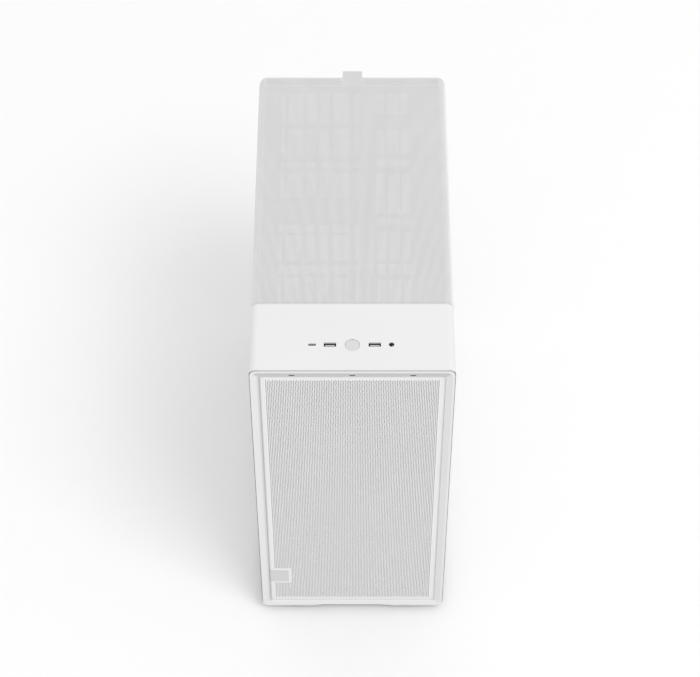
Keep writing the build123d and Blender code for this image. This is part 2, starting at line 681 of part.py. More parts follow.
# ---------------------------------------------------------------------------
# mainboard and what it carries
# ---------------------------------------------------------------------------
mount_points = [(board_y1 - y, board_z0 + z) for y in (10.2, 130.0, 237.0) for z in (8.0, 142.0, 299.5)]
with BuildPart() as motherboard:
    with BuildSketch(xplane(board_face_x)):
        with Locations(((board_y0 + board_y1) / 2, (board_z0 + board_z1) / 2)):
            Rectangle(board_y1 - board_y0, board_z1 - board_z0)
        with Locations(*mount_points):
            Circle(2.0, mode=Mode.SUBTRACT)
    extrude(amount=board_thick)
keep(motherboard, "motherboard")

with BuildPart() as board_standoffs:
    with BuildSketch(xplane(board_back_x)):
        with Locations(*mount_points):
            RegularPolygon(2.9, 6)
    extrude(amount=tray_x - board_back_x)
    with BuildSketch(xplane(board_face_x - 2.0)):
        with Locations(*mount_points):
            Circle(3.2)
    extrude(amount=2.0)
    with BuildSketch(xplane(board_face_x - 0.5)):
        with Locations(*mount_points):
            Circle(1.6)
    extrude(amount=board_thick + 1.0)
keep(board_standoffs, "board_standoffs")

memory_y = [board_y1 - 190.0 - 9.5 * k for k in range(4)]
with BuildPart() as board_sockets:
    # memory sockets, card sockets, main power and processor power sockets
    for my in memory_y:
        bar(board_face_x - 6.0, board_face_x, my - 3.2, my + 3.2, 275.0, 417.0)
        bar(board_face_x - 7.0, board_face_x - 1.0, my - 0.9, my + 0.9, 277.0, 415.0, Mode.SUBTRACT)
    for k in (6, 3, 1):
        sz = slot_z0 + k * slot_pitch
        bar(board_face_x - 11.0, board_face_x, board_y1 - 140.0, board_y1 - 50.0, sz - 3.75, sz + 3.75)
        bar(board_face_x - 12.0, board_face_x - 3.0, board_y1 - 138.0, board_y1 - 52.0, sz - 0.95, sz + 0.95, Mode.SUBTRACT)
    bar(board_face_x - 12.0, board_face_x, board_y0 + 2.0, board_y0 + 11.0, 300.0, 352.0)
    bar(board_face_x - 12.0, board_face_x, board_y1 - 62.0, board_y1 - 44.0, board_z1 - 12.0, board_z1 - 3.0)
    bar(board_face_x - 9.0, board_face_x, board_y0 + 20.0, board_y0 + 90.0, board_z0 + 2.0, board_z0 + 7.0)
    bar(board_face_x - 5.0, board_face_x, cpu_y - 26.0, cpu_y + 26.0, cpu_z - 26.0, cpu_z + 26.0)
    bar(board_face_x - 6.0, board_face_x - 2.0, cpu_y - 20.2, cpu_y + 20.2, cpu_z - 20.2, cpu_z + 20.2, Mode.SUBTRACT)
keep(board_sockets, "board_sockets")

with BuildPart() as board_heatsinks:
    # voltage regulators beside and above the processor, chipset
    for n in range(7):
        bar(board_face_x - 24.0, board_face_x - 1.0, cpu_y + 30.0 + n * 4.0, cpu_y + 32.4 + n * 4.0, cpu_z - 60.0, cpu_z + 48.0)
    bar(board_face_x - 6.0, board_face_x, cpu_y + 30.0, cpu_y + 56.4, cpu_z - 60.0, cpu_z + 48.0)
    bar(board_face_x - 8.0, board_face_x, board_y0 + 30.0, board_y0 + 78.0, board_z0 + 30.0, board_z0 + 78.0)
    for n in range(6):
        bar(board_face_x - 8.0, board_face_x - 5.5, board_y0 + 34.0 + n * 8.0, board_y0 + 37.0 + n * 8.0, board_z0 + 29.0, board_z0 + 79.0, Mode.SUBTRACT)
keep(board_heatsinks, "board_heatsinks")

with BuildPart() as memory_modules:
    for my in (memory_y[0], memory_y[2]):
        bar(board_face_x - 33.0, board_face_x - 1.2, my - 0.7, my + 0.7, 279.5, 412.5)
        bar(board_face_x - 34.0, board_face_x - 7.5, my - 3.4, my + 3.4, 280.5, 411.5)
keep(memory_modules, "memory_modules")

with BuildPart() as processor:
    bar(board_face_x - 5.2, board_face_x - 2.0, cpu_y - 19.5, cpu_y + 19.5, cpu_z - 19.5, cpu_z + 19.5)
    bar(board_face_x - 7.4, board_face_x - 5.2, cpu_y - 15.0, cpu_y + 15.0, cpu_z - 17.0, cpu_z + 17.0)
keep(processor, "processor")

# rear sockets of the mainboard and the plate around them
port_x1 = board_face_x
with BuildPart() as rear_ports:
    py0, py1 = board_y1 - 18.0, rear_inner_y + 0.4
    for z0, z1, h in ((268.0, 281.0, 38.0), (284.0, 299.5, 30.0), (303.0, 318.5, 30.0), (322.0, 337.5, 27.0),
                      (341.0, 356.5, 16.0), (360.0, 375.5, 16.0), (379.0, 394.5, 30.0), (399.0, 414.5, 32.0)):
        bar(port_x1 - h, port_x1, py0, py1, z0, z1)
        bar(port_x1 - h + 1.5, port_x1 - 2.0, py1 - 9.0, py1 + 1.0, z0 + 1.6, z1 - 1.6, Mode.SUBTRACT)
        if h > 20.0:
            bar(port_x1 - h + 1.0, port_x1 - 1.5, py1 - 8.0, py1, (z0 + z1) / 2 - 1.2, (z0 + z1) / 2 + 1.2)
keep(rear_ports, "rear_ports")

with BuildPart() as io_shield:
    bar(30.3, 74.15, rear_inner_y + 0.2, rear_inner_y + 0.7, 265.3, 423.45)
    for z0, z1, h in ((268.0, 281.0, 38.0), (284.0, 299.5, 30.0), (303.0, 318.5, 30.0), (322.0, 337.5, 27.0),
                      (341.0, 356.5, 16.0), (360.0, 375.5, 16.0), (379.0, 394.5, 30.0), (399.0, 414.5, 32.0)):
        bar(port_x1 - h - 0.3, port_x1 + 0.3, rear_inner_y - 1, rear_inner_y + 1, z0 - 0.3, z1 + 0.3, Mode.SUBTRACT)
keep(io_shield, "io_shield")

# tower cooler: cold plate, four heat pipes, fin stack
fin_x0, fin_x1 = -82.0, 24.0
fin_y0, fin_y1 = cpu_y - 24.0, cpu_y + 24.0
with BuildPart() as cooler_heatsink:
    bar(board_face_x - 22.0, board_face_x - 7.4, cpu_y - 20.0, cpu_y + 20.0, cpu_z - 20.0, cpu_z + 20.0)
    with BuildSketch(xplane(fin_x0 + 2.0)):
        with Locations(*[(cpu_y + dy, cpu_z + dz) for dy in (-15.0, -5.0, 5.0, 15.0) for dz in (-17.0 - 24.0, 17.0 + 24.0)]):
            Circle(3.0)
    extrude(amount=board_face_x - 15.0 - fin_x0 - 2.0)
    for dy in (-15.0, -5.0, 5.0, 15.0):
        bar(board_face_x - 18.0, board_face_x - 12.0, cpu_y + dy - 3.0, cpu_y + dy + 3.0, cpu_z - 44.0, cpu_z + 44.0)
    n_fins = 27
    for n in range(n_fins):
        fx = fin_x0 + (fin_x1 - fin_x0) * n / (n_fins - 1)
        bar(fx - 0.4, fx + 0.4, fin_y0, fin_y1, cpu_z - 58.0, cpu_z + 58.0)
    # edge strip that ties the fins together
    for dz in (-58.0, 57.0):
        bar(fin_x0 - 0.4, fin_x1 + 0.4, cpu_y - 6.0, cpu_y + 6.0, cpu_z + dz, cpu_z + dz + 1.0)
keep(cooler_heatsink, "cooler_heatsink")
cooler_fan_x = (fin_x0 + fin_x1) / 2 - 2.0
fan_pair("cooler", "cooler_fan_frame", "cooler_fan_rotor",
         Plane(origin=(cooler_fan_x, fin_y0 - 0.3 - fan_thick, cpu_z), x_dir=(1, 0, 0), z_dir=(0, 1, 0)))

# ---------------------------------------------------------------------------
# graphics card: board, shroud with two fans facing down, bracket
# ---------------------------------------------------------------------------
gpu_x0, gpu_x1 = -44.0, board_face_x - 11.5
gpu_fan_y = (gpu_y1 - 72.0, gpu_y1 - 176.0)
gpu_mid_x = (gpu_x0 + gpu_x1) / 2
with BuildPart() as graphics_card_board:
    bar(gpu_x0, gpu_x1, gpu_y0, gpu_y1 - 2.0, gpu_pcb_z - 0.8, gpu_pcb_z + 0.8)
    bar(gpu_x1 - 1.0, board_face_x - 4.0, board_y1 - 137.0, board_y1 - 53.0, gpu_pcb_z - 0.8, gpu_pcb_z + 0.8)
keep(graphics_card_board, "graphics_card_board")

shroud_top = gpu_pcb_z - 0.9
shroud_bot = gpu_pcb_z - 38.0
with BuildPart() as graphics_card_shroud:
    bar(gpu_x0 + 1.0, gpu_x1 - 1.0, gpu_y0 + 1.0, gpu_y1 - 6.0, shroud_bot, shroud_top)
    fillet(graphics_card_shroud.edges().group_by(Axis.Z)[0], radius=3.0)
    with BuildSketch(zplane(shroud_bot)):
        with Locations(*[(gpu_mid_x, fy) for fy in gpu_fan_y]):
            Circle(45.0)
    extrude(amount=16.0, mode=Mode.SUBTRACT)
    # fins seen at the long sides
    for n in range(30):
        fy = gpu_y0 + 10.0 + n * 7.6
        bar(gpu_x0, gpu_x0 + 8.0, fy, fy + 4.4, shroud_bot + 18.0, shroud_top - 3.0, Mode.SUBTRACT)
    with BuildSketch(zplane(shroud_bot + 5.0)):
        with Locations(*[(gpu_mid_x, fy) for fy in gpu_fan_y]):
            Circle(4.0)
    extrude(amount=11.5)
    with BuildSketch(zplane(shroud_bot + 4.0)):
        with Locations(*[(gpu_mid_x, fy) for fy in gpu_fan_y]):
            Circle(1.55)
    extrude(amount=11.0, mode=Mode.SUBTRACT)
keep(graphics_card_shroud, "graphics_card_shroud")


def card_rotor(fy):
    """Small axial rotor for the graphics card, turning about +Z."""
    pl = Plane(origin=(gpu_mid_x, fy, shroud_bot + 1.0), x_dir=(1, 0, 0), z_dir=(0, 0, 1))
    with BuildPart() as rotor:
        with BuildSketch(pl):
            Circle(15.0)
        extrude(amount=11.0)
        with BuildSketch(pl.offset(1.5)):
            Circle(13.6)
        extrude(amount=10.0, mode=Mode.SUBTRACT)
        with BuildSketch(pl.offset(1.0)):
            Circle(1.5)
        extrude(amount=11.0)
        for k in range(11):
            a = 2 * math.pi * k / 11
            radial = pl.x_dir * math.cos(a) + pl.y_dir * math.sin(a)
            tangent = pl.y_dir * math.cos(a) - pl.x_dir * math.sin(a)
            for r, half, pitch in ((14.4, 4.5, 40.0), (43.5, 10.0, 26.0)):
                c = math.cos(math.radians(pitch))
                s = math.sin(math.radians(pitch))
                sec = Plane(origin=pl.origin + pl.z_dir * 5.8 + radial * r, x_dir=tangent * c + pl.z_dir * s, z_dir=radial)
                with BuildSketch(sec):
                    Rectangle(2 * half, 1.2)
            loft(ruled=True)
    return rotor


card_rotor_rear = card_rotor(gpu_fan_y[0])
keep(card_rotor_rear, "card_fan_rotor_rear")
card_rotor_front = card_rotor(gpu_fan_y[1])
keep(card_rotor_front, "card_fan_rotor_front")

slot_x0, slot_x1 = -51.5, 68.5


def slot_bracket(z, width_z):
    """Limits of one slot plate and of its bent screw tab, in the open part."""
    bar(slot_x0, slot_x1, rear_inner_y - 1.0, rear_inner_y - 0.05, z - width_z / 2, z + width_z / 2)
    bar(slot_x0 - 8.0, slot_x0 + 0.5, rear_inner_y - 1.0, rear_inner_y - 0.05, z - width_z / 2, z + width_z / 2)


with BuildPart() as graphics_card_bracket:
    bar(slot_x0 - 8.0, slot_x1, rear_inner_y - 1.0, rear_inner_y - 0.05,
        gpu_pcb_z - slot_pitch - 9.2, gpu_pcb_z + 9.2)
    for n in range(10):
        bar(-36.0 + n * 6.0, -33.0 + n * 6.0, rear_inner_y - 2, rear_inner_y + 1, gpu_pcb_z - slot_pitch - 5.0, gpu_pcb_z - slot_pitch + 5.0, Mode.SUBTRACT)
    bar(34.0, 56.0, rear_inner_y - 2, rear_inner_y + 1, gpu_pcb_z - slot_pitch - 4.0, gpu_pcb_z - slot_pitch + 4.0, Mode.SUBTRACT)
    for n in range(3):
        bar(-34.0 + n * 27.0, -16.0 + n * 27.0, rear_inner_y - 2, rear_inner_y + 1, gpu_pcb_z - 6.2, gpu_pcb_z - 1.4, Mode.SUBTRACT)
    # ears that hold the board
    bar(-30.0, -22.0, gpu_y1 - 8.0, rear_inner_y - 0.5, gpu_pcb_z + 0.8, gpu_pcb_z + 1.8)
    bar(30.0, 38.0, gpu_y1 - 8.0, rear_inner_y - 0.5, gpu_pcb_z + 0.8, gpu_pcb_z + 1.8)
keep(graphics_card_bracket, "graphics_card_bracket")

with BuildPart() as slot_covers:
    for k in range(5):
        slot_bracket(slot_z0 + k * slot_pitch, 18.4)
keep(slot_covers, "slot_covers")

# screws that hold the slot covers and the card bracket, all alike
with BuildPart() as slot_screws:
    with BuildSketch(yplane(rear_outer_y + 0.05)):
        with Locations(*[(-55.5, slot_z0 + k * slot_pitch) for k in range(7)]):
            Circle(2.9)
    extrude(amount=-1.4)
keep(slot_screws, "slot_screws")

# ---------------------------------------------------------------------------
# power supply: folded case, fan below, mains inlet and rocker switch
# ---------------------------------------------------------------------------
inlet_x, inlet_z = 44.0, 52.0
rocker_x, rocker_z = 8.0, 52.0
with BuildPart() as power_supply_case:
    bar(psu_x0, psu_x1, psu_y0, psu_y1, psu_z0, psu_z1)
    bar(psu_x0 + 1.0, psu_x1 - 1.0, psu_y0 + 1.0, psu_y1 - 1.0, psu_z0 + 1.0, psu_z1 - 1.0, Mode.SUBTRACT)
    # fan mouth in the underside
    with BuildSketch(zplane(psu_z0)):
        with Locations((psu_mid_x, psu_fan_y)):
            Circle(58.0)
    extrude(amount=1.0, mode=Mode.SUBTRACT)
    # vent, inlet and switch openings in the rear wall
    with BuildSketch(yplane(psu_y1)):
        with Locations((inlet_x, inlet_z)):
            RectangleRounded(27.6, 20.4, 2.0)
        with Locations((rocker_x, rocker_z)):
            Rectangle(13.2, 19.6)
        with Locations(*[(-60.0 + 9.0 * c + (4.5 if r % 2 else 0), 24.0 + 7.8 * r) for r in range(10) for c in range(6)]):
            RegularPolygon(3.9, 6, rotation=30)
    extrude(amount=1.0, mode=Mode.SUBTRACT)
    # cable mouth in the front wall
    with BuildSketch(yplane(psu_y0)):
        with Locations((40.0, 80.0)):
            RectangleRounded(40.0, 20.0, 4.0)
    extrude(amount=-1.0, mode=Mode.SUBTRACT)
keep(power_supply_case, "power_supply_case")

psu_fan_plane = Plane(origin=(psu_mid_x, psu_fan_y, psu_z0 + 1.0), x_dir=(1, 0, 0), z_dir=(0, 0, 1))
fan_pair("psu", "psu_fan_frame", "psu_fan_rotor", psu_fan_plane)

with BuildPart() as power_inlet:
    with BuildSketch(yplane(psu_y1 - 20.0)):
        with Locations((inlet_x, inlet_z)):
            RectangleRounded(27.0, 19.8, 2.0)
    extrude(amount=-20.6)
    with BuildSketch(yplane(psu_y1 + 0.6)):
        with Locations((inlet_x, inlet_z)):
            RectangleRounded(24.2, 16.4, 2.5)
    extrude(amount=17.0, mode=Mode.SUBTRACT)
    for px, pz in ((-7.0, -1.5), (7.0, -1.5), (0.0, 2.5)):
        bar(inlet_x + px - 1.0, inlet_x + px + 1.0, psu_y1 - 17.0, psu_y1 - 4.0, inlet_z + pz - 2.0, inlet_z + pz + 2.0)
keep(power_inlet, "power_inlet")

# rocker switch: bezel frame in the case, rocker on a cross pin
with BuildPart() as rocker_housing:
    bar(rocker_x - 6.4, rocker_x + 6.4, psu_y1 - 13.0, psu_y1 + 0.5, rocker_z - 9.6, rocker_z + 9.6)
    bar(rocker_x - 5.2, rocker_x + 5.2, psu_y1 - 11.0, psu_y1 + 1.0, rocker_z - 8.4, rocker_z + 8.4, Mode.SUBTRACT)
    with BuildSketch(xplane(rocker_x - 5.5)):
        with Locations((psu_y1 - 4.0, rocker_z)):
            Circle(0.95)
    extrude(amount=11.0)
keep(rocker_housing, "rocker_housing")
with BuildPart() as power_rocker:
    with BuildSketch(xplane(rocker_x - 4.8)):
        with BuildLine():
            Polyline((psu_y1 - 7.0, rocker_z - 2.5), (psu_y1 - 4.5, rocker_z - 7.6), (psu_y1 - 1.0, rocker_z - 7.6),
                     (psu_y1 - 2.0, rocker_z), (psu_y1 - 1.0, rocker_z + 7.6), (psu_y1 - 4.5, rocker_z + 7.6),
                     (psu_y1 - 7.0, rocker_z + 2.5), close=True)
        make_face()
    extrude(amount=9.6)
    with BuildSketch(xplane(rocker_x - 6.0)):
        with Locations((psu_y1 - 4.0, rocker_z)):
            Circle(1.0)
    extrude(amount=12.0, mode=Mode.SUBTRACT)
keep(power_rocker, "power_rocker")

# ---------------------------------------------------------------------------
# drive cage and drives
# ---------------------------------------------------------------------------
cage_x0, cage_x1 = -62.0, 48.0
cage_y0, cage_y1 = shroud_front + 4.0, psu_y0 - 42.0
with BuildPart() as drive_cage:
    bar(cage_x0, cage_x1, cage_y0, cage_y1, 13.0, 82.0)
    bar(cage_x0 + 1.0, cage_x1 - 1.0, cage_y0 - 1.0, cage_y1 + 1.0, 14.0, 81.0, Mode.SUBTRACT)
    for zz in (48.0,):
        for s, xx in ((1, cage_x0 + 1.0), (-1, cage_x1 - 1.0)):
            bar(xx, xx + s * 3.2, cage_y0, cage_y1, zz - 0.5, zz + 0.5)
keep(drive_cage, "drive_cage")
with BuildPart() as hard_drive:
    bar(-57.8, 43.8, cage_y0 + 1.0, min(cage_y0 + 148.0, cage_y1 - 1.0), 50.0, 76.1)
    bar(-50.0, 36.0, cage_y0 + 1.0, cage_y0 + 1.0 + 30.0, 49.2, 50.2)
keep(hard_drive, "hard_drive")

# ---------------------------------------------------------------------------
# main power lead: from the power supply, up behind the tray, to its plug in
# the mainboard; straight runs joined by tangent arcs
# ---------------------------------------------------------------------------
lead_d = 9.0
lead_points = [Vector(44, psu_y0 + 5.0, 84), Vector(44, 5, 90), Vector(60, board_y0 - 22, 88), Vector(92, board_y0 - 22, 96),
               Vector(92, board_y0 - 22, 190), Vector(92, board_y0 - 19, 280), Vector(90, board_y0 - 22, 362),
               Vector(44, board_y0 - 22, 366), Vector(27, board_y0 + 3.0, 344), Vector(44, board_y0 + 6.5, 326)]
lead_radii = []
for p, q, r in zip(lead_points, lead_points[1:], lead_points[2:]):
    turn = math.radians((q - p).get_angle(r - q))
    lead_radii.append(0.45 * min((q - p).length, (r - q).length) / math.tan(turn / 2))
print("lead radii", [round(r, 1) for r in lead_radii])
with BuildPart() as power_harness:
    with BuildLine():
        FilletPolyline(*lead_points, radius=lead_radii)
    with BuildSketch(Plane(origin=lead_points[0], z_dir=lead_points[1] - lead_points[0])):
        Circle(lead_d / 2)
    sweep()
    bar(43.0, board_face_x - 12.1, board_y0 + 1.9, board_y0 + 11.1, 300.5, 351.5)
keep(power_harness, "power_harness")

print("nodes", len(written))
for n in written:
    print(" ", n)
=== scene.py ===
import bpy
import bmesh
import math
import numpy as np
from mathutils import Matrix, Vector


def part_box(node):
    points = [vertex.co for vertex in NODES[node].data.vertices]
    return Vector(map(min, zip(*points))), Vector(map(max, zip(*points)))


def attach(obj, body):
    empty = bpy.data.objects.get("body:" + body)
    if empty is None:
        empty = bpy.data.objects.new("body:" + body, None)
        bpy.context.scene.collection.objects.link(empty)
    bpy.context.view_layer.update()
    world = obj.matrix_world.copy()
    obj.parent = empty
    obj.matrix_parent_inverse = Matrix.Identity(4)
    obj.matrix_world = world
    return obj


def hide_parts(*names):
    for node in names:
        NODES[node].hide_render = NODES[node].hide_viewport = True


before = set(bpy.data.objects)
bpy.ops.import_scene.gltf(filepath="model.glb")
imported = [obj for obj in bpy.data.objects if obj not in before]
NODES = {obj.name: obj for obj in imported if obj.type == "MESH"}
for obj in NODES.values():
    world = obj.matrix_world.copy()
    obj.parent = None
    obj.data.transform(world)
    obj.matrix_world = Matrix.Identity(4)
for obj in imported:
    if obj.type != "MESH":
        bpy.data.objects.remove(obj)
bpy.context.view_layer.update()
MM = 0.001
scene = bpy.context.scene


# ---------------------------------------------------------------------------
# camera, lights, floor
# ---------------------------------------------------------------------------
cam = bpy.data.cameras.new("view_camera")
cam_ob = bpy.data.objects.new("view_camera", cam)
scene.collection.objects.link(cam_ob)
cam_ob.location = (0.0, -1.59927, 2.27069)
cam_ob.rotation_euler = (math.radians(38.308), 0.0, 0.0)
cam.sensor_fit = "HORIZONTAL"
cam.sensor_width = 36.0
cam.lens = 112.87
cam.shift_x = -0.0034
cam.clip_start, cam.clip_end = 0.05, 60.0
scene.camera = cam_ob

scene.view_settings.view_transform = "Standard"
scene.view_settings.look = "None"
scene.view_settings.exposure = 0.0
scene.view_settings.gamma = 1.0

world = bpy.data.worlds.new("studio")
scene.world = world
world.use_nodes = True
world.node_tree.nodes["Background"].inputs["Color"].default_value = (1.0, 1.0, 1.0, 1.0)
world.node_tree.nodes["Background"].inputs["Strength"].default_value = 0.90


def softbox(name, at, aim, size_x, size_y, watts):
    lamp = bpy.data.lights.new(name, "AREA")
    lamp.shape = "RECTANGLE"
    lamp.size, lamp.size_y = size_x, size_y
    lamp.energy = watts
    ob = bpy.data.objects.new(name, lamp)
    scene.collection.objects.link(ob)
    ob.location = at
    ob.rotation_euler = (Vector(aim) - Vector(at)).to_track_quat("-Z", "Y").to_euler()
    return ob


softbox("key_softbox", (2.8, -3.2, 6.8), (0.0, 0.0, 0.2), 3.4, 3.4, 192.0)


# ---------------------------------------------------------------------------
# materials
# ---------------------------------------------------------------------------
def material(name, colour, rough, metal=0.0, grain=900.0, bump=0.00002, strength=0.35, vary=0.02,
             rough_vary=0.06, broad=14.0, specular=0.5, coat=0.0, sheen=0.0):
    """Painted or moulded surface: broad colour drift, fine grain in bump and roughness."""
    m = bpy.data.materials.new(name)
    m.use_nodes = True
    nt = m.node_tree
    nt.nodes.clear()
    out = nt.nodes.new("ShaderNodeOutputMaterial")
    p = nt.nodes.new("ShaderNodeBsdfPrincipled")
    nt.links.new(p.outputs["BSDF"], out.inputs["Surface"])
    p.inputs["Metallic"].default_value = metal
    p.inputs["Specular IOR Level"].default_value = specular
    if coat:
        p.inputs["Coat Weight"].default_value = coat
        p.inputs["Coat Roughness"].default_value = 0.15
    if sheen:
        p.inputs["Sheen Weight"].default_value = sheen
        p.inputs["Sheen Roughness"].default_value = 0.5
    tc = nt.nodes.new("ShaderNodeTexCoord")
    drift = nt.nodes.new("ShaderNodeTexNoise")
    drift.inputs["Scale"].default_value = broad
    drift.inputs["Detail"].default_value = 3.0
    nt.links.new(tc.outputs["Object"], drift.inputs["Vector"])
    ramp = nt.nodes.new("ShaderNodeMapRange")
    ramp.inputs["From Min"].default_value = 0.3
    ramp.inputs["From Max"].default_value = 0.7
    ramp.inputs["To Min"].default_value = 1.0 - vary
    ramp.inputs["To Max"].default_value = 1.0 + vary
    nt.links.new(drift.outputs["Fac"], ramp.inputs["Value"])
    mul = nt.nodes.new("ShaderNodeVectorMath")
    mul.operation = "SCALE"
    mul.inputs[0].default_value = colour[:3]
    nt.links.new(ramp.outputs["Result"], mul.inputs["Scale"])
    nt.links.new(mul.outputs["Vector"], p.inputs["Base Color"])
    fine = nt.nodes.new("ShaderNodeTexNoise")
    fine.inputs["Scale"].default_value = grain
    fine.inputs["Detail"].default_value = 4.0
    nt.links.new(tc.outputs["Object"], fine.inputs["Vector"])
    rr = nt.nodes.new("ShaderNodeMapRange")
    rr.inputs["From Min"].default_value = 0.3
    rr.inputs["From Max"].default_value = 0.7
    rr.inputs["To Min"].default_value = max(rough - rough_vary, 0.02)
    rr.inputs["To Max"].default_value = min(rough + rough_vary, 1.0)
    nt.links.new(fine.outputs["Fac"], rr.inputs["Value"])
    nt.links.new(rr.outputs["Result"], p.inputs["Roughness"])
    b = nt.nodes.new("ShaderNodeBump")
    b.inputs["Strength"].default_value = strength
    b.inputs["Distance"].default_value = bump
    nt.links.new(fine.outputs["Fac"], b.inputs["Height"])
    nt.links.new(b.outputs["Normal"], p.inputs["Normal"])
    return m


def woven(name, colour, pitch=0.0011):
    """Plain weave: two crossing wave patterns for the yarns, colour and bump from both."""
    m = bpy.data.materials.new(name)
    m.use_nodes = True
    nt = m.node_tree
    nt.nodes.clear()
    out = nt.nodes.new("ShaderNodeOutputMaterial")
    p = nt.nodes.new("ShaderNodeBsdfPrincipled")
    nt.links.new(p.outputs["BSDF"], out.inputs["Surface"])
    p.inputs["Sheen Weight"].default_value = 0.25
    p.inputs["Sheen Roughness"].default_value = 0.5
    p.inputs["Specular IOR Level"].default_value = 0.25
    tc = nt.nodes.new("ShaderNodeTexCoord")
    waves = []
    for axis in ("X", "Z", "Y"):
        w = nt.nodes.new("ShaderNodeTexWave")
        w.wave_type = "BANDS"
        w.bands_direction = axis
        w.wave_profile = "SIN"
        w.inputs["Scale"].default_value = math.pi / 10.0 / pitch
        w.inputs["Distortion"].default_value = 0.6
        w.inputs["Detail"].default_value = 1.0
        w.inputs["Detail Scale"].default_value = 40.0
        nt.links.new(tc.outputs["Object"], w.inputs["Vector"])
        waves.append(w)
    a = nt.nodes.new("ShaderNodeMath")
    a.operation = "MAXIMUM"
    nt.links.new(waves[0].outputs["Fac"], a.inputs[0])
    nt.links.new(waves[1].outputs["Fac"], a.inputs[1])
    b2 = nt.nodes.new("ShaderNodeMath")
    b2.operation = "MULTIPLY_ADD"
    b2.inputs[1].default_value = 0.5
    nt.links.new(waves[2].outputs["Fac"], b2.inputs[0])
    nt.links.new(a.outputs[0], b2.inputs[2])
    ramp = nt.nodes.new("ShaderNodeMapRange")
    ramp.inputs["From Max"].default_value = 1.5
    ramp.inputs["To Min"].default_value = 0.86
    ramp.inputs["To Max"].default_value = 1.04
    nt.links.new(b2.outputs[0], ramp.inputs["Value"])
    mul = nt.nodes.new("ShaderNodeVectorMath")
    mul.operation = "SCALE"
    mul.inputs[0].default_value = colour[:3]
    nt.links.new(ramp.outputs["Result"], mul.inputs["Scale"])
    nt.links.new(mul.outputs["Vector"], p.inputs["Base Color"])
    rr = nt.nodes.new("ShaderNodeMapRange")
    rr.inputs["From Max"].default_value = 1.5
    rr.inputs["To Min"].default_value = 0.92
    rr.inputs["To Max"].default_value = 0.78
    nt.links.new(b2.outputs[0], rr.inputs["Value"])
    nt.links.new(rr.outputs["Result"], p.inputs["Roughness"])
    bp = nt.nodes.new("ShaderNodeBump")
    bp.inputs["Strength"].default_value = 0.6
    bp.inputs["Distance"].default_value = 0.00012
    nt.links.new(b2.outputs[0], bp.inputs["Height"])
    nt.links.new(bp.outputs["Normal"], p.inputs["Normal"])
    return m


MAT = {
    "white_plastic": material("white_plastic_fine", (0.738, 0.738, 0.738), 0.42, grain=2200, bump=0.00002, vary=0.008),
    "white_steel": material("white_powder_coat", (0.755, 0.755, 0.755), 0.50, grain=1100, bump=0.00004, vary=0.01),
    "mesh_land": material("mesh_land_coat_wall_shade", (0.84, 0.84, 0.84), 0.50, grain=1400, bump=0.00003, vary=0.01),
    "front_land": material("front_land_coat_wall_shade", (0.88, 0.88, 0.88), 0.50, grain=1400, bump=0.00003, vary=0.01),
    "white_mesh": material("white_mesh_coat", (0.755, 0.755, 0.755), 0.50, grain=1400, bump=0.00003, vary=0.01),
    "tag_fabric": woven("tag_weave", (0.63, 0.63, 0.63)),
    "button_plastic": material("button_satin", (0.62, 0.62, 0.62), 0.36, grain=2600, bump=0.00001, vary=0.008),
    "light_pipe": material("light_pipe_smoke", (0.30, 0.30, 0.31), 0.2, grain=2600, bump=0.00001, coat=0.4),
    "black_plastic": material("black_plastic_grain", (0.018, 0.018, 0.019), 0.5, grain=1800, bump=0.00003, vary=0.15),
    "port_metal": material("plated_steel", (0.62, 0.62, 0.63), 0.32, metal=1.0, grain=700, bump=0.00001, vary=0.04),
    "circuit_board": material("solder_mask_black", (0.012, 0.016, 0.017), 0.38, grain=400, bump=0.00002, vary=0.25, coat=0.3),
    "brass_parts": material("turned_brass", (0.75, 0.57, 0.28), 0.3, metal=1.0, grain=900, bump=0.00001, vary=0.05),
    "alloy": material("brushed_alloy", (0.72, 0.73, 0.74), 0.33, metal=1.0, grain=600, bump=0.00002, vary=0.04),
    "dark_alloy": material("anodised_dark", (0.06, 0.06, 0.065), 0.42, metal=0.8, grain=1500, bump=0.00002, vary=0.08),
    "nickel": material("nickel_plate", (0.72, 0.71, 0.69), 0.2, metal=1.0, grain=500, bump=0.00001, vary=0.03),
    "dark_steel": material("dark_powder_coat", (0.03, 0.03, 0.032), 0.55, grain=1000, bump=0.00005, vary=0.12),
    "rubber_black": material("rubber_pad", (0.022, 0.022, 0.022), 0.85, grain=1500, bump=0.00005, vary=0.2),
    "fan_blade": material("white_fan_plastic", (0.755, 0.755, 0.755), 0.42, grain=1600, bump=0.00002, vary=0.01),
    "cable_sleeve": material("cable_sheath", (0.02, 0.02, 0.02), 0.6, grain=1400, bump=0.00006, vary=0.2),
}
MAT["nylon_grey"] = material("nylon_grey", (0.52, 0.52, 0.52), 0.4, grain=2000, bump=0.00001, vary=0.03)
MAT["nylon_mid"] = material("nylon_mid", (0.50, 0.50, 0.50), 0.45, grain=2000, bump=0.00001, vary=0.03)
MAT["nylon_dark"] = material("nylon_dark", (0.16, 0.16, 0.16), 0.45, grain=2000, bump=0.00001, vary=0.03)
MAT["port_dark"] = material("port_dark_finish", (0.05, 0.05, 0.052), 0.5, metal=0.3, grain=1600, bump=0.00001, vary=0.04)
# screen_white: light grey, painted light for the lit interior seen through the slots of the top plate
MAT["screen_white"] = material("screen_white", (0.60, 0.60, 0.60), 0.75, grain=2500, bump=0.00005, vary=0.02)
# plate_coat: dark grey, painted shade for the parts that lie in the shadow under the top mesh
MAT["plate_coat"] = material("plate_coat", (0.36, 0.36, 0.36), 0.5, grain=1100, bump=0.00004, vary=0.01)
MAT["fold_steel"] = material("folded_edge_coat", (0.60, 0.60, 0.60), 0.5, grain=1400, bump=0.00003, vary=0.01)
MAT["gold"] = material("gold_contact", (0.80, 0.62, 0.30), 0.3, metal=1.0, grain=900, bump=0.00001, vary=0.03)


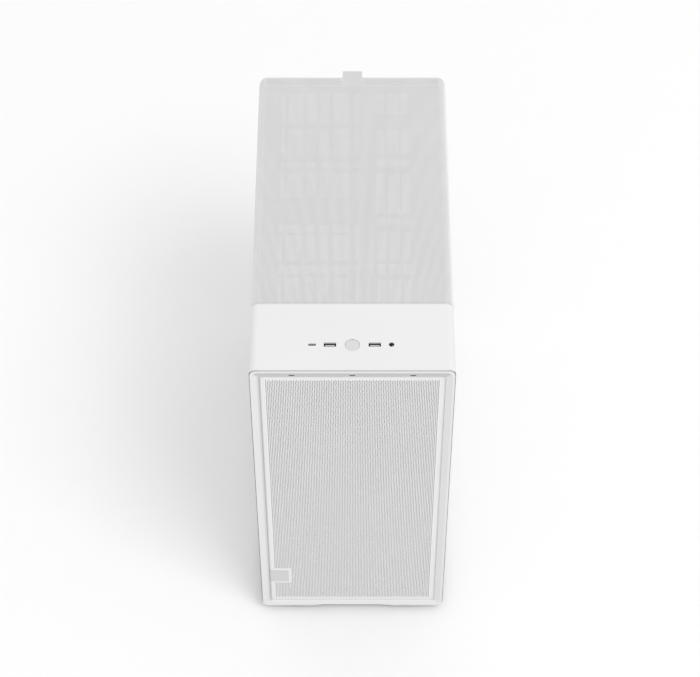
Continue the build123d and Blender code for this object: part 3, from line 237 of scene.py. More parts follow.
def hole_wall_shade(m, axis, share, half=None):
    """Painted shade in the holes: their walls get a darker base colour than the face of the sheet."""
    nt = m.node_tree
    principled = next(n for n in nt.nodes if n.type == "BSDF_PRINCIPLED")
    old = principled.inputs["Base Color"].links[0].from_socket
    tc = nt.nodes.new("ShaderNodeTexCoord")
    sep = nt.nodes.new("ShaderNodeSeparateXYZ")
    nt.links.new(tc.outputs["Normal"], sep.inputs[0])
    ab = nt.nodes.new("ShaderNodeMath")
    ab.operation = "ABSOLUTE"
    nt.links.new(sep.outputs[axis], ab.inputs[0])
    r = nt.nodes.new("ShaderNodeMapRange")
    r.inputs["From Min"].default_value = 0.3
    r.inputs["From Max"].default_value = 0.6
    r.inputs["To Min"].default_value = share
    r.inputs["To Max"].default_value = 1.0
    nt.links.new(ab.outputs[0], r.inputs["Value"])
    value = r.outputs["Result"]
    if half:
        where = nt.nodes.new("ShaderNodeSeparateXYZ")
        nt.links.new(tc.outputs["Object"], where.inputs[0])
        ax = nt.nodes.new("ShaderNodeMath")
        ax.operation = "ABSOLUTE"
        nt.links.new(where.outputs["X"], ax.inputs[0])
        far = nt.nodes.new("ShaderNodeMath")
        far.operation = "GREATER_THAN"
        far.inputs[1].default_value = half
        nt.links.new(ax.outputs[0], far.inputs[0])
        top = nt.nodes.new("ShaderNodeMath")
        top.operation = "MAXIMUM"
        nt.links.new(far.outputs[0], top.inputs[0])
        nt.links.new(value, top.inputs[1])
        value = top.outputs[0]
    mul = nt.nodes.new("ShaderNodeVectorMath")
    mul.operation = "SCALE"
    nt.links.new(old, mul.inputs[0])
    nt.links.new(value, mul.inputs["Scale"])
    nt.links.new(mul.outputs["Vector"], principled.inputs["Base Color"])
    return m


def recess_shade(m):
    """Painted shade in the bezel's recess: the base colour darkens toward the panel, most of all along its top, under
    the rim.
    """
    nt = m.node_tree
    principled = next(n for n in nt.nodes if n.type == "BSDF_PRINCIPLED")
    old = principled.inputs["Base Color"].links[0].from_socket
    tc = nt.nodes.new("ShaderNodeTexCoord")
    sep = nt.nodes.new("ShaderNodeSeparateXYZ")
    nt.links.new(tc.outputs["Object"], sep.inputs[0])

    def ramp(socket, a, b, low, high):
        r = nt.nodes.new("ShaderNodeMapRange")
        r.interpolation_type = "SMOOTHSTEP"
        r.inputs["From Min"].default_value = a
        r.inputs["From Max"].default_value = b
        r.inputs["To Min"].default_value = low
        r.inputs["To Max"].default_value = high
        nt.links.new(socket, r.inputs["Value"])
        return r.outputs["Result"]

    def join(op, a, b):
        n = nt.nodes.new("ShaderNodeMath")
        n.operation = op
        for k, v in enumerate((a, b)):
            if isinstance(v, float):
                n.inputs[k].default_value = v
            else:
                nt.links.new(v, n.inputs[k])
        return n.outputs[0]

    x, y, z = sep.outputs["X"], sep.outputs["Y"], sep.outputs["Z"]
    # mask of the recess between the rim and the panel, where the painted shade goes
    inside = join("MULTIPLY", ramp(y, -0.22018, -0.21995, 0.0, 1.0), ramp(y, -0.2178, -0.2172, 1.0, 0.0))
    up = join("MULTIPLY", join("SUBTRACT", z, 0.4577), 0.79)
    ax = join("ABSOLUTE", x, 0.0)
    mitre = ramp(join("SUBTRACT", up, join("SUBTRACT", ax, 0.0973)), -0.0012, 0.0012, 0.0, 1.0)
    above = ramp(z, 0.4560, 0.4574, 0.0, 1.0)
    top = join("MULTIPLY", mitre, above)
    top = join("MULTIPLY", top, ramp(z, 0.4575, 0.4665, 0.26, 0.34))
    flank = join("SUBTRACT", 1.0, join("MULTIPLY", mitre, above))
    right = join("MULTIPLY", flank, ramp(x, 0.0960, 0.0975, 0.0, 0.07))
    left = join("MULTIPLY", flank, ramp(x, -0.1008, -0.0974, 0.02, 0.27))
    left = join("MULTIPLY", left, ramp(x, -0.0972, -0.0960, 1.0, 0.0))
    sides = join("MULTIPLY", join("ADD", right, left), ramp(z, 0.0150, 0.0205, 0.0, 1.0))
    total = join("MULTIPLY", inside, join("ADD", top, sides))
    keep = join("SUBTRACT", 1.0, total)
    mul = nt.nodes.new("ShaderNodeVectorMath")
    mul.operation = "SCALE"
    nt.links.new(old, mul.inputs[0])
    nt.links.new(keep, mul.inputs["Scale"])
    nt.links.new(mul.outputs["Vector"], principled.inputs["Base Color"])
    return m


# bezel plastic carrying the painted shade of its recess
MAT["bezel_plastic"] = recess_shade(material("bezel_plastic_painted_shade", (0.738, 0.738, 0.738), 0.44, grain=2200, bump=0.00002, vary=0.008))
# painted shade on the walls of the holes in both perforated sheets
hole_wall_shade(MAT["front_land"], "Y", 0.36)
hole_wall_shade(MAT["mesh_land"], "Z", 0.36, 0.0992)
# gauze: near-black sheet behind the front mesh, painted shade for what shows through its holes
MAT["gauze"] = material("dark_shade_backing", (0.035, 0.035, 0.037), 0.85, grain=2600, bump=0.00006, vary=0.04)
FLOOR = material("studio_floor", (0.885, 0.885, 0.885), 0.95, grain=300, bump=0.00001, vary=0.002, specular=0.0)


# ---------------------------------------------------------------------------
# mesh helpers
# ---------------------------------------------------------------------------
def mesh_object(name, verts, faces, mat, smooth=None, body=None, uv=None):
    """faces is a list of (M, k) integer arrays. smooth is one flag per array."""
    me = bpy.data.meshes.new(name)
    verts = np.asarray(verts, np.float32)
    faces = [np.asarray(f, np.int32) for f in faces if len(f)]
    loops = np.concatenate([f.ravel() for f in faces])
    totals = np.concatenate([np.full(len(f), f.shape[1], np.int32) for f in faces])
    starts = np.concatenate([[0], np.cumsum(totals)[:-1]]).astype(np.int32)
    me.vertices.add(len(verts))
    me.vertices.foreach_set("co", verts.ravel())
    me.loops.add(len(loops))
    me.loops.foreach_set("vertex_index", loops)
    me.polygons.add(len(totals))
    me.polygons.foreach_set("loop_start", starts)
    if smooth is not None:
        flags = np.concatenate([np.full(len(f), s, bool) for f, s in zip(faces, smooth)])
        me.polygons.foreach_set("use_smooth", flags)
    me.update(calc_edges=True)
    me.validate()
    if uv is not None:
        layer = me.uv_layers.new(name="OFBake")
        layer.data.foreach_set("uv", uv[loops].astype(np.float32).ravel())
    me.materials.append(mat)
    ob = bpy.data.objects.new(name, me)
    scene.collection.objects.link(ob)
    if body:
        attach(ob, body)
    return ob


def bm_object(name, bm, mat, body=None, smooth=True):
    me = bpy.data.meshes.new(name)
    bm.to_mesh(me)
    bm.free()
    me.polygons.foreach_set("use_smooth", np.full(len(me.polygons), smooth, bool))
    me.materials.append(mat)
    ob = bpy.data.objects.new(name, me)
    scene.collection.objects.link(ob)
    if body:
        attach(ob, body)
    return ob


def soften(ob, width=0.0003, segments=2, angle=32.0, planar=True):
    """Small rounded edges on a carried-over shape."""
    me = ob.data
    me.polygons.foreach_set("use_smooth", np.ones(len(me.polygons), bool))
    if "custom_normal" in me.attributes:
        me.attributes.remove(me.attributes["custom_normal"])
    w = ob.modifiers.new("weld", "WELD")
    w.merge_threshold = 0.000002
    if planar:
        d = ob.modifiers.new("planar", "DECIMATE")
        d.decimate_type = "DISSOLVE"
        d.angle_limit = math.radians(0.5)
    b = ob.modifiers.new("edges", "BEVEL")
    b.width = width
    b.segments = segments
    b.limit_method = "ANGLE"
    b.angle_limit = math.radians(angle)
    b.use_clamp_overlap = True
    b.miter_outer = "MITER_ARC"
    b.harden_normals = False
    n = ob.modifiers.new("normals", "WEIGHTED_NORMAL")
    n.keep_sharp = False
    n.weight = 50


def slabs(name, boxes, mat, body, bevel=0.0002, segments=2):
    """Rounded straight pieces, each (x0, x1, y0, y1, z0, z1) in millimetres, in one object."""
    bm = bmesh.new()
    for x0, x1, y0, y1, z0, z1 in boxes:
        made = bmesh.ops.create_cube(bm, size=1.0)
        vs = made["verts"]
        for v in vs:
            v.co.x = (x0 + (v.co.x + 0.5) * (x1 - x0)) * MM
            v.co.y = (y0 + (v.co.y + 0.5) * (y1 - y0)) * MM
            v.co.z = (z0 + (v.co.z + 0.5) * (z1 - z0)) * MM
    bmesh.ops.bevel(bm, geom=bm.edges[:], offset=bevel, segments=segments, affect="EDGES", profile=0.5)
    ob = bm_object(name, bm, mat, body)
    n = ob.modifiers.new("normals", "WEIGHTED_NORMAL")
    n.keep_sharp = False
    return ob


def rounded_rect(x0, x1, z0, z1, r, per_corner=8, side=6):
    """Closed outline in the plane, anticlockwise, the same number of points for any size."""
    pts = []
    corners = ((x1 - r, z0 + r, -90), (x1 - r, z1 - r, 0), (x0 + r, z1 - r, 90), (x0 + r, z0 + r, 180))
    for k, (cx, cz, a0) in enumerate(corners):
        for i in range(per_corner + 1):
            a = math.radians(a0 + 90.0 * i / per_corner)
            pts.append((cx + r * math.cos(a), cz + r * math.sin(a)))
        nx, nz, na = corners[(k + 1) % 4]
        a = math.radians(na)
        end = (nx + r * math.cos(a), nz + r * math.sin(a))
        last = pts[-1]
        for j in range(1, side):
            f = j / side
            pts.append((last[0] + (end[0] - last[0]) * f, last[1] + (end[1] - last[1]) * f))
    return np.array(pts)


# ---------------------------------------------------------------------------
# perforated sheets: hexagonal cells, each with a hole, in unrolled coordinates
# ---------------------------------------------------------------------------
def perforated(name, cols, half_rows, radius, hole_r, place, thick, keep, solid, mat, body, centre, rect, strips):
    """cols: column numbers, spaced 1.5 radius. half_rows: rows of the even columns. place(s, t, d) gives the point at unrolled s, t
    and depth d. keep and solid take the cell centres. rect closes the block to a straight outline."""
    cu, cv = radius / 2.0, radius * math.sqrt(3.0) / 2.0
    s0, t0 = centre
    lo, hi = cols
    corner = np.array([(2, 0), (1, 1), (-1, 1), (-2, 0), (-1, -1), (1, -1)])
    hexa = np.array([(math.cos(math.radians(60 * k)), math.sin(math.radians(60 * k))) for k in range(6)]) * hole_r
    made = []
    edges = np.linspace(lo, hi + 1, strips + 1).round().astype(int)
    s_all = ((3 * lo - 2) * cu + s0, (3 * hi + 2) * cu + s0)
    t_all = (-1 * cv + t0, (2 * half_rows - 1) * cv + t0)
    for k in range(strips):
        c0, c1 = edges[k], edges[k + 1] - 1
        U, V = [], []
        for i in range(c0, c1 + 1):
            even = (i - lo) % 2 == 0
            rows = np.arange(half_rows if even else half_rows - 1)
            V.append(2 * rows + (0 if even else 1))
            U.append(np.full(len(rows), 3 * i))
        U, V = np.concatenate(U), np.concatenate(V)
        cs_, ct_ = U * cu + s0, V * cv + t0
        ok = keep(cs_, ct_)
        U, V, cs_, ct_ = U[ok], V[ok], cs_[ok], ct_[ok]
        full = solid(cs_, ct_)
        key = (U[:, None] + corner[None, :, 0]) * 100000 + (V[:, None] + corner[None, :, 1] + 50)
        extra = []          # polygons of corner keys that straighten the outline
        if rect:
            for i in range(c0, c1 + 1):
                even = (i - lo) % 2 == 0
                if not even:
                    for base, sign in ((-1, 1), (2 * half_rows - 1, -1)):
                        a = [(3 * i - 2, base), (3 * i - 1, base + sign), (3 * i + 1, base + sign), (3 * i + 2, base)]
                        extra.append(a if sign < 0 else a[::-1])
            for i, sg in ((lo, -1), (hi, 1)):
                if not c0 <= i <= c1:
                    continue
                for j in range(half_rows - 1):
                    tri = [(3 * i + 2 * sg, 2 * j), (3 * i + sg, 2 * j + 1), (3 * i + 2 * sg, 2 * j + 2)]
                    extra.append(tri if sg < 0 else tri[::-1])
                for base, sign in ((-1, 1), (2 * half_rows - 1, -1)):
                    tri = [(3 * i + sg, base), (3 * i + 2 * sg, base), (3 * i + 2 * sg, base + sign)]
                    flip = (sg > 0) == (sign > 0)
                    extra.append(tri if flip else tri[::-1])
        ekeys = [[u * 100000 + (v + 50) for u, v in poly] for poly in extra]
        flat_keys = np.concatenate([key.ravel()] + ([np.array(sum(ekeys, []))] if ekeys else []))
        uniq, inv = np.unique(flat_keys, return_inverse=True)
        cu_i = np.round(uniq / 100000.0).astype(int)
        cv_i = uniq - cu_i * 100000 - 50
        # keys of negative columns need the same split as positive ones
        bad = cv_i > 50000
        cu_i[bad] += 1
        cv_i[bad] -= 100000
        bad = cv_i < -50000
        cu_i[bad] -= 1
        cv_i[bad] += 100000
        st = np.stack([cu_i * cu + s0, cv_i * cv + t0], 1)
        n = len(uniq)
        cell = inv[: key.size].reshape(-1, 6)
        open_cells = cell[~full]
        hc = np.stack([cs_[~full], ct_[~full]], 1)
        hole_st = (hc[:, None, :] + hexa[None]).reshape(-1, 2)
        m = len(hole_st)
        front = place(st[:, 0], st[:, 1], 0.0)
        front_h = place(hole_st[:, 0], hole_st[:, 1], 0.0)
        back = place(st[:, 0], st[:, 1], thick)
        back_h = place(hole_st[:, 0], hole_st[:, 1], thick)
        verts = np.concatenate([front, front_h, back, back_h]) * MM
        uv_st = np.concatenate([st, hole_st, st, hole_st])
        uv = (uv_st - [s_all[0] - 30, t_all[0] - 30]) / [s_all[1] - s_all[0] + 60, t_all[1] - t_all[0] + 60]
        hid = n + np.arange(m).reshape(-1, 6)
        nxt = np.roll(np.arange(6), -1)
        ring = np.stack([open_cells, open_cells[:, nxt], hid[:, nxt], hid], 2).reshape(-1, 4)
        walls = np.stack([hid, hid[:, nxt], hid[:, nxt] + n + m, hid + n + m], 2).reshape(-1, 4)
        full_cells = cell[full]
        off = n + m
        faces = [ring, ring[:, ::-1] + off, walls]
        flags = [False, False, True]
        if len(full_cells):
            faces += [full_cells, full_cells[:, ::-1] + off]
            flags += [False, False]
        pos = key.size
        for want in (3, 4):
            polys = []
            p = pos
            for poly in ekeys:
                if len(poly) == want:
                    polys.append(inv[p : p + want])
                p += len(poly)
            if polys:
                polys = np.array(polys)
                faces += [polys, polys[:, ::-1] + off]
                flags += [False, False]
        made.append(mesh_object(f"{name}_{k + 1}", verts, faces, mat, flags, body, uv))
    return made, s_all, t_all


FRONT_Y, BACK_Y, BASE_Z, TOP_Z = -220.25, 207.25, 9.5, 470.0

# front mesh: flat sheet, cells in columns 1.808 mm apart
PANEL_FACE = FRONT_Y + 3.0
R_F = 1.808 / 1.5
N_F = 50
ROWS_F = 205
t_first = 23.3 + R_F * math.sqrt(3) / 2


def place_front(s, t, d):
    return np.stack([s, np.full_like(s, PANEL_FACE + d), t], 1)


def tag_margin(s, t):
    return (s < -70.9) & (t > 55.8) & (t < 86.6)


front_sheets, fs, ft = perforated(
    "front_mesh_sheet", (-N_F, N_F), ROWS_F, R_F, 0.835, place_front, 0.70,
    lambda s, t: np.ones(len(s), bool), tag_margin, MAT["front_land"], "front_mesh", (0.0, t_first), True, 4)

# its border: flat margin, rolled edge, return flange
loops = []
for half, z0, z1, r, y in (
        (fs[1], ft[0], ft[1], 0.001, PANEL_FACE),
        (95.5, 19.0, 455.9, 1.5, PANEL_FACE),
        (95.95, 18.55, 456.35, 1.9, PANEL_FACE + 0.10),
        (96.2, 18.3, 456.6, 2.1, PANEL_FACE + 0.38),
        (96.3, 18.2, 456.7, 2.2, PANEL_FACE + 0.8),
        (96.3, 18.2, 456.7, 2.2, PANEL_FACE + 3.05),
        (96.15, 18.35, 456.55, 2.1, PANEL_FACE + 3.2),
        (95.45, 19.05, 455.85, 1.4, PANEL_FACE + 3.2),
        (95.3, 19.2, 455.7, 1.2, PANEL_FACE + 3.05),
        (95.3, 19.2, 455.7, 1.2, PANEL_FACE + 0.6),
        (fs[1], ft[0], ft[1], 0.001, PANEL_FACE + 0.6)):
    o = rounded_rect(-half, half, z0, z1, r)
    loops.append(np.stack([o[:, 0], np.full(len(o), y), o[:, 1]], 1))
n_o = len(loops[0])
verts = np.concatenate(loops) * MM
quads = []
idx = np.arange(n_o)
for a in range(len(loops) - 1):
    quads.append(np.stack([a * n_o + idx, (a + 1) * n_o + idx, (a + 1) * n_o + np.roll(idx, -1), a * n_o + np.roll(idx, -1)], 1))
front_frame = mesh_object("front_mesh_border", verts, [np.concatenate(quads)[:, ::-1]], MAT["white_mesh"], [True], "front_mesh")
wn = front_frame.modifiers.new("normals", "WEIGHTED_NORMAL")
front_tongues = slabs("front_mesh_tongues",
                      [(hx - 2.5, hx + 2.5, FRONT_Y + 4.8, FRONT_Y + 6.0, 453.7, 462.7) for hx in (-63.1, 0.0, 63.2)],
                      MAT["white_mesh"], "front_mesh")
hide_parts("front_mesh_panel")

# top mesh: an arch that rolls down at both sides, cut to rounded rear corners, and a wall along the rear
TOP_FRONT = FRONT_Y + 90.4
REAR_Y = BACK_Y
R_E, R_P = 8.0, 9.5
CORE_X = 107.5 - R_E
THIN = 0.5
TAB_Z = 466.6


def arch_z(x):
    over = np.clip(np.abs(x) - CORE_X, 0.0, R_E)
    return TOP_Z - R_E + np.sqrt(R_E * R_E - over * over)


def plan_y(x):
    over = np.clip(np.abs(x) - (107.5 - R_P), 0.0, R_P)
    return REAR_Y - R_P + np.sqrt(R_P * R_P - over * over)


def place_top(s, t, d):
    over = np.maximum(np.abs(s) - CORE_X, 0.0)
    arc = R_E * math.pi / 2
    th = np.minimum(over, arc) / R_E
    drop = np.maximum(over - arc, 0.0)
    rr = R_E - d
    x = np.where(over > 0, np.sign(s) * (CORE_X + rr * np.sin(th)), s)
    z = np.where(over > 0, TOP_Z - R_E + rr * np.cos(th) - drop, TOP_Z - d)
    return np.stack([x, t + np.zeros_like(s), z], 1)


def place_rear(s, t, d):
    a = np.maximum(np.abs(s) - (107.5 - R_P), 0.0) / R_P
    x = np.where(a > 0, np.sign(s) * (107.5 - R_P + (R_P - d) * np.sin(a)), s)
    y = np.where(a > 0, REAR_Y - R_P + (R_P - d) * np.cos(a), REAR_Y - d)
    return np.stack([x, y, t + np.zeros_like(s)], 1)


CS_T = 1.181
R_T = CS_T / 1.5
P_T = R_T * math.sqrt(3)
n_t = int(117.0 / CS_T)
rows_t = int((REAR_Y - 0.9 - (TOP_FRONT + 0.7)) / P_T)


def keep_top(s, t):
    p = place_top(s, t, 0.0)
    return (p[:, 2] > 457.4) & (p[:, 1] < plan_y(p[:, 0]) - 0.8)


def keep_rear(s, t):
    p = place_rear(s, t, 0.0)
    slot = (np.abs(p[:, 0]) < 13.4) & (p[:, 2] > TAB_Z - 2.9)
    return (p[:, 2] < arch_z(p[:, 0]) - 1.4) & ~slot


def nothing(s, t):
    return np.zeros(len(s), bool)


top_sheets, ts, tt = perforated(
    "top_mesh_sheet", (-n_t, n_t), rows_t, R_T, 0.51, place_top, THIN, keep_top, nothing, MAT["mesh_land"], "top_mesh",
    (0.0, TOP_FRONT + 0.7 + P_T / 2), False, 10)
n_r = int((107.5 - R_P + R_P * math.pi / 2) / CS_T)
rear_sheets, rs, rt = perforated(
    "top_mesh_rear", (-n_r, n_r), 8, R_T, 0.51, place_rear, THIN, keep_rear, nothing, MAT["mesh_land"], "top_mesh",
    (0.0, 457.6 + P_T / 2), False, 1)


def skirt_path(inset, front):
    """Plan outline of the skirt from the left front end round the rear to the right front end."""
    hw, by, r = 107.5 - inset, REAR_Y - inset, R_P - inset
    pts = [(-hw, front + f * (by - r - front)) for f in np.linspace(0, 1, 24)]
    pts += [(-hw + r - r * math.cos(a), by - r + r * math.sin(a)) for a in np.linspace(0, math.pi / 2, 13)[1:]]
    pts += [(x, by) for x in np.linspace(-hw + r, hw - r, 24)[1:]]
    pts += [(hw - r + r * math.sin(a), by - r + r * math.cos(a)) for a in np.linspace(0, math.pi / 2, 13)[1:]]
    pts += [(hw, by - r - f * (by - r - front)) for f in np.linspace(0, 1, 24)[1:]]
    return np.array(pts)


def strip(name, rings, mat, body, smooth=True):
    """A closed bar: rings are equal lists of points in millimetres, one for each corner of its section."""
    n, k = len(rings[0]), len(rings)
    quads = []
    for a in range(k):
        b = (a + 1) % k
        i = np.arange(n - 1)
        quads.append(np.stack([a * n + i, b * n + i, b * n + i + 1, a * n + i + 1], 1))
    caps = [np.array([[a * n for a in range(k)]]), np.array([[a * n + n - 1 for a in range(k)][::-1]])]
    ob = mesh_object(name, np.concatenate(rings) * MM, [np.concatenate(quads)] + caps, mat, [smooth, False, False], body)
    bm = bmesh.new()
    bm.from_mesh(ob.data)
    bmesh.ops.recalc_face_normals(bm, faces=bm.faces)
    bm.to_mesh(ob.data)
    bm.free()
    ob.modifiers.new("normals", "WEIGHTED_NORMAL")
    return ob


def around(inset, z):
    p = skirt_path(inset, TOP_FRONT)
    return np.concatenate([p, np.full((len(p), 1), z)], 1)


hem = strip("top_mesh_hem", [around(i, z) for i, z in
            [(-0.02, 456.3), (0.3, 456.0), (0.9, 456.0), (1.2, 456.3), (1.2, 458.0), (1.0, 458.2), (0.15, 458.2), (-0.02, 458.05)]],
            MAT["white_mesh"], "top_mesh")

# the rear edge: a folded strip along the top of the wall, down round both corners
al = np.concatenate([np.linspace(0.0, 1.0, 33) * math.pi / 2])
edge_plan = [(-(107.5 - R_P) - R_P * math.cos(a), REAR_Y - R_P + R_P * math.sin(a), -math.cos(a), math.sin(a)) for a in al]
edge_plan += [(x, REAR_Y, 0.0, 1.0) for x in np.linspace(-98.0, 98.0, 41)[1:-1]]
edge_plan += [(107.5 - R_P + R_P * math.sin(a), REAR_Y - R_P + R_P * math.cos(a), math.sin(a), math.cos(a)) for a in al]
edge_plan = np.array(edge_plan)
rings = []
for inset, fall in ((1.9, -0.02), (1.0, -0.02), (0.5, 0.06), (0.16, 0.3), (-0.02, 0.75), (-0.02, 1.9), (0.62, 1.9), (0.62, 0.9), (1.9, 0.6)):
    px = edge_plan[:, 0] - edge_plan[:, 2] * inset
    py = edge_plan[:, 1] - edge_plan[:, 3] * inset
    rings.append(np.stack([px, py, arch_z(px) - fall], 1))
rear_edge = strip("top_mesh_rear_edge", rings, MAT["fold_steel"], "top_mesh")

# front edge of the top mesh: a plain strip that follows the arch
arch = np.concatenate([np.linspace(-118.0, -99.5, 26), np.linspace(-90, 90, 19), np.linspace(99.5, 118.0, 26)])
top_edge = strip("top_mesh_front_edge",
                 [place_top(arch, np.full(len(arch), TOP_FRONT + a), d) for a, d in
                  [(0.0, 0.2), (0.2, 0.0), (0.72, 0.0), (0.72, 0.6), (0.15, 0.6), (0.0, 0.5)]],
                 MAT["white_mesh"], "top_mesh", False)
# the hooks are parts of the white top mesh, given the grey plate_coat as painted shade
top_hooks = slabs("top_mesh_hooks",
                  [(hx - 6.0, hx + 6.0, TOP_FRONT + 1.5, TOP_FRONT + 6.0, 465.6, 469.3) for hx in (-70.0, 0.0, 70.0)]
                  + [(hx - 6.0, hx + 6.0, TOP_FRONT - 8.5, TOP_FRONT + 5.9, 465.6, 466.8) for hx in (-70.0, 0.0, 70.0)],
                  MAT["plate_coat"], "top_mesh")
tab_frame = slabs("top_mesh_tab_frame",
                  [(-14.4, 14.4, REAR_Y - 0.62, REAR_Y, TAB_Z - 3.6, TAB_Z - 1.7), (-14.4, 14.4, REAR_Y - 0.62, REAR_Y, TAB_Z + 1.7, TAB_Z + 2.4),
                   (-14.4, -12.2, REAR_Y - 0.60, REAR_Y - 0.01, TAB_Z - 3.5, TAB_Z + 2.3), (12.2, 14.4, REAR_Y - 0.60, REAR_Y - 0.01, TAB_Z - 3.5, TAB_Z + 2.3)],
                  MAT["white_mesh"], "top_mesh", bevel=0.0001)
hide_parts("top_mesh_panel")

# light inlays set into the slots of the top plate: painted light standing in for the lit interior seen through the
# slots
rows_left = ((368.0, 417.0), (321.5, 360.5), (300.5, 308.5), (254.5, 292.0), (203.0, 214.5), (163.0, 200.0), (144.0, 156.0), (100.0, 140.0))
cols_left = ((-80.5, -77.0), (-73.5, -57.0), (-51.0, -41.5), (-36.5, -26.5), (-21.5, -4.5), (2.6, 8.0))
rows_right = ((383.0, 417.0), (321.5, 358.5), (301.0, 313.0), (231.5, 292.0), (214.5, 224.5), (165.0, 205.0), (143.5, 158.0), (100.0, 136.0))
cols_right = ((26.5, 36.5), (40.0, 52.5), (55.5, 64.0))
inlays = [(c0 + 0.1, c1 - 0.1, FRONT_Y + r0 + 0.1, FRONT_Y + r1 - 0.1, 454.35, 454.85)
          for rows, cols in ((rows_left, cols_left), (rows_right, cols_right)) for r0, r1 in rows for c0, c1 in cols]
slot_light_inlays = slabs("top_plate_light_inlays", inlays, MAT["screen_white"], "chassis", bevel=0.0001, segments=1)

# dark pads in the catch slots as painted shade for the shadow inside them, a dark sheet behind the front mesh as
# painted shade seen through its holes, lip in the gap round the panel
slot_shadow_pads = slabs("catch_slot_shadow_pads", [(hx - 2.85, hx + 2.85, -218.88, -216.6, 460.7, 462.3) for hx in (-63.1, 0.0, 63.2)],
             MAT["rubber_black"], "bezel", bevel=0.00008)
# dark sheet behind the front mesh: painted shade seen through the holes
gauze = slabs("front_mesh_shade_backing", [(-95.0, 95.0, PANEL_FACE + 0.85, PANEL_FACE + 1.1, 19.6, 455.3)], MAT["gauze"], "front_mesh", bevel=0.00005)
lip = slabs("panel_edge_lip", [(96.2, 97.15, PANEL_FACE + 0.15, PANEL_FACE + 1.0, 18.1, 455.6), (-97.15, -96.2, PANEL_FACE + 1.0, PANEL_FACE + 1.8, 18.1, 455.6), (-95.5, 97.1, PANEL_FACE + 0.15, PANEL_FACE + 1.0, 17.8, 18.4)],
            MAT["white_mesh"], "front_mesh", bevel=0.0001)

# grey strip in plate_coat over the plate's rear edge: painted shade that hides the edge's highlight
trim = slabs("plate_rear_trim", [(-103.0, 103.0, 199.5, 206.7, 454.6, 455.6)], MAT["plate_coat"], "chassis", bevel=0.0001)
joint = slabs("cap_joint_strip", [(-98.5, 98.5, -218.62, -218.28, 466.0, 469.25)], MAT["white_plastic"], "bezel", bevel=0.00008)

margin = slabs("tag_margin", [(-74.4, -71.3, PANEL_FACE - 0.06, PANEL_FACE + 0.3, 57.0, 85.4), (-95.6, -74.4, PANEL_FACE - 0.06, PANEL_FACE + 0.3, 82.7, 85.4),
                              (-95.6, -74.4, PANEL_FACE - 0.06, PANEL_FACE + 0.3, 57.0, 59.7)], MAT["white_mesh"], "front_mesh", bevel=0.00005)

# painted shade: a thin dark strip behind the rim of the bezel, at both sides and round its upper corners, stands for
# the shadow in the gap to the body
for side, name in ((-1, "bezel_gap_shadow_left"), (1, "bezel_gap_shadow_right")):
    line = [(107.5, z) for z in np.linspace(15.0, 462.0, 40)]
    line += [(99.5 + 8.0 * math.cos(a), 462.0 + 8.0 * math.sin(a)) for a in np.linspace(0, math.radians(42), 14)[1:]]
    line = np.array(line)
    out = np.array([(1.0, 0.0)] * 40 + [(math.cos(a), math.sin(a)) for a in np.linspace(0, math.radians(42), 14)[1:]])
    rings = []
    for inset, y in ((0.08, -218.62), (0.0, -218.55), (0.0, -218.35), (0.08, -218.28), (1.3, -218.28), (1.3, -218.62)):
        q = line - out * inset
        rings.append(np.stack([side * q[:, 0], np.full(len(q), y), q[:, 1]], 1))
    gap_shadow_strip = strip(name, rings, MAT["rubber_black"], "bezel")


# ---------------------------------------------------------------------------
# woven tapes: the front tag and the rear tab
# ---------------------------------------------------------------------------
def tape(name, path, half_width, across, centre, thick, mat, body, yarn=1.1, lift=0.035):
    """Tape of real thickness along a path of (point, out) pairs; across is its width direction."""
    pts = np.array([p for p, _ in path], float)
    outs = np.array([o for _, o in path], float)
    seg = np.linalg.norm(np.diff(pts, axis=0), axis=1)
    dist = np.concatenate([[0], np.cumsum(seg)])
    count = max(int(dist[-1] / 0.22), 8)
    u = np.linspace(0, dist[-1], count)
    P = np.stack([np.interp(u, dist, pts[:, k]) for k in range(3)], 1)
    O = np.stack([np.interp(u, dist, outs[:, k]) for k in range(3)], 1)
    O /= np.linalg.norm(O, axis=1, keepdims=True)
    nw = int(2 * half_width / 0.22)
    w = np.linspace(-half_width, half_width, nw)
    A = np.array(across, float)
    grid = P[:, None, :] + w[None, :, None] * A[None, None, :]
    U, W = np.meshgrid(u, w, indexing="ij")
    bumps = lift * np.sqrt(np.abs(np.cos(math.pi * U / yarn) * np.cos(math.pi * W / yarn)))
    rim = np.minimum(np.minimum(W + half_width, half_width - W), np.minimum(U, dist[-1] - U))
    rim = np.sqrt(np.clip(rim / 0.35, 0, 1) * (2 - np.clip(rim / 0.35, 0, 1)))
    up = grid + O[:, None, :] * ((thick / 2 - lift) * (0.35 + 0.65 * rim) + bumps * rim)[..., None]
    dn = grid - O[:, None, :] * ((thick / 2 - lift) * (0.35 + 0.65 * rim) + bumps * rim)[..., None]
    nu = len(u)
    verts = np.concatenate([up.reshape(-1, 3), dn.reshape(-1, 3)]) * MM
    idx = np.arange(nu * nw).reshape(nu, nw)
    q = np.stack([idx[:-1, :-1], idx[1:, :-1], idx[1:, 1:], idx[:-1, 1:]], 2).reshape(-1, 4)
    off = nu * nw
    faces = [q, q[:, ::-1] + off]
    for line in (idx[0, :], idx[:, -1], idx[-1, ::-1], idx[::-1, 0]):
        faces.append(np.stack([line[:-1], line[1:], line[1:] + off, line[:-1] + off], 1))
    ob = mesh_object(name, verts, [np.concatenate(faces)], mat, [True], body)
    bm = bmesh.new()
    bm.from_mesh(ob.data)
    bmesh.ops.recalc_face_normals(bm, faces=bm.faces)
    bm.to_mesh(ob.data)
    bm.free()
    return ob, dist[-1]


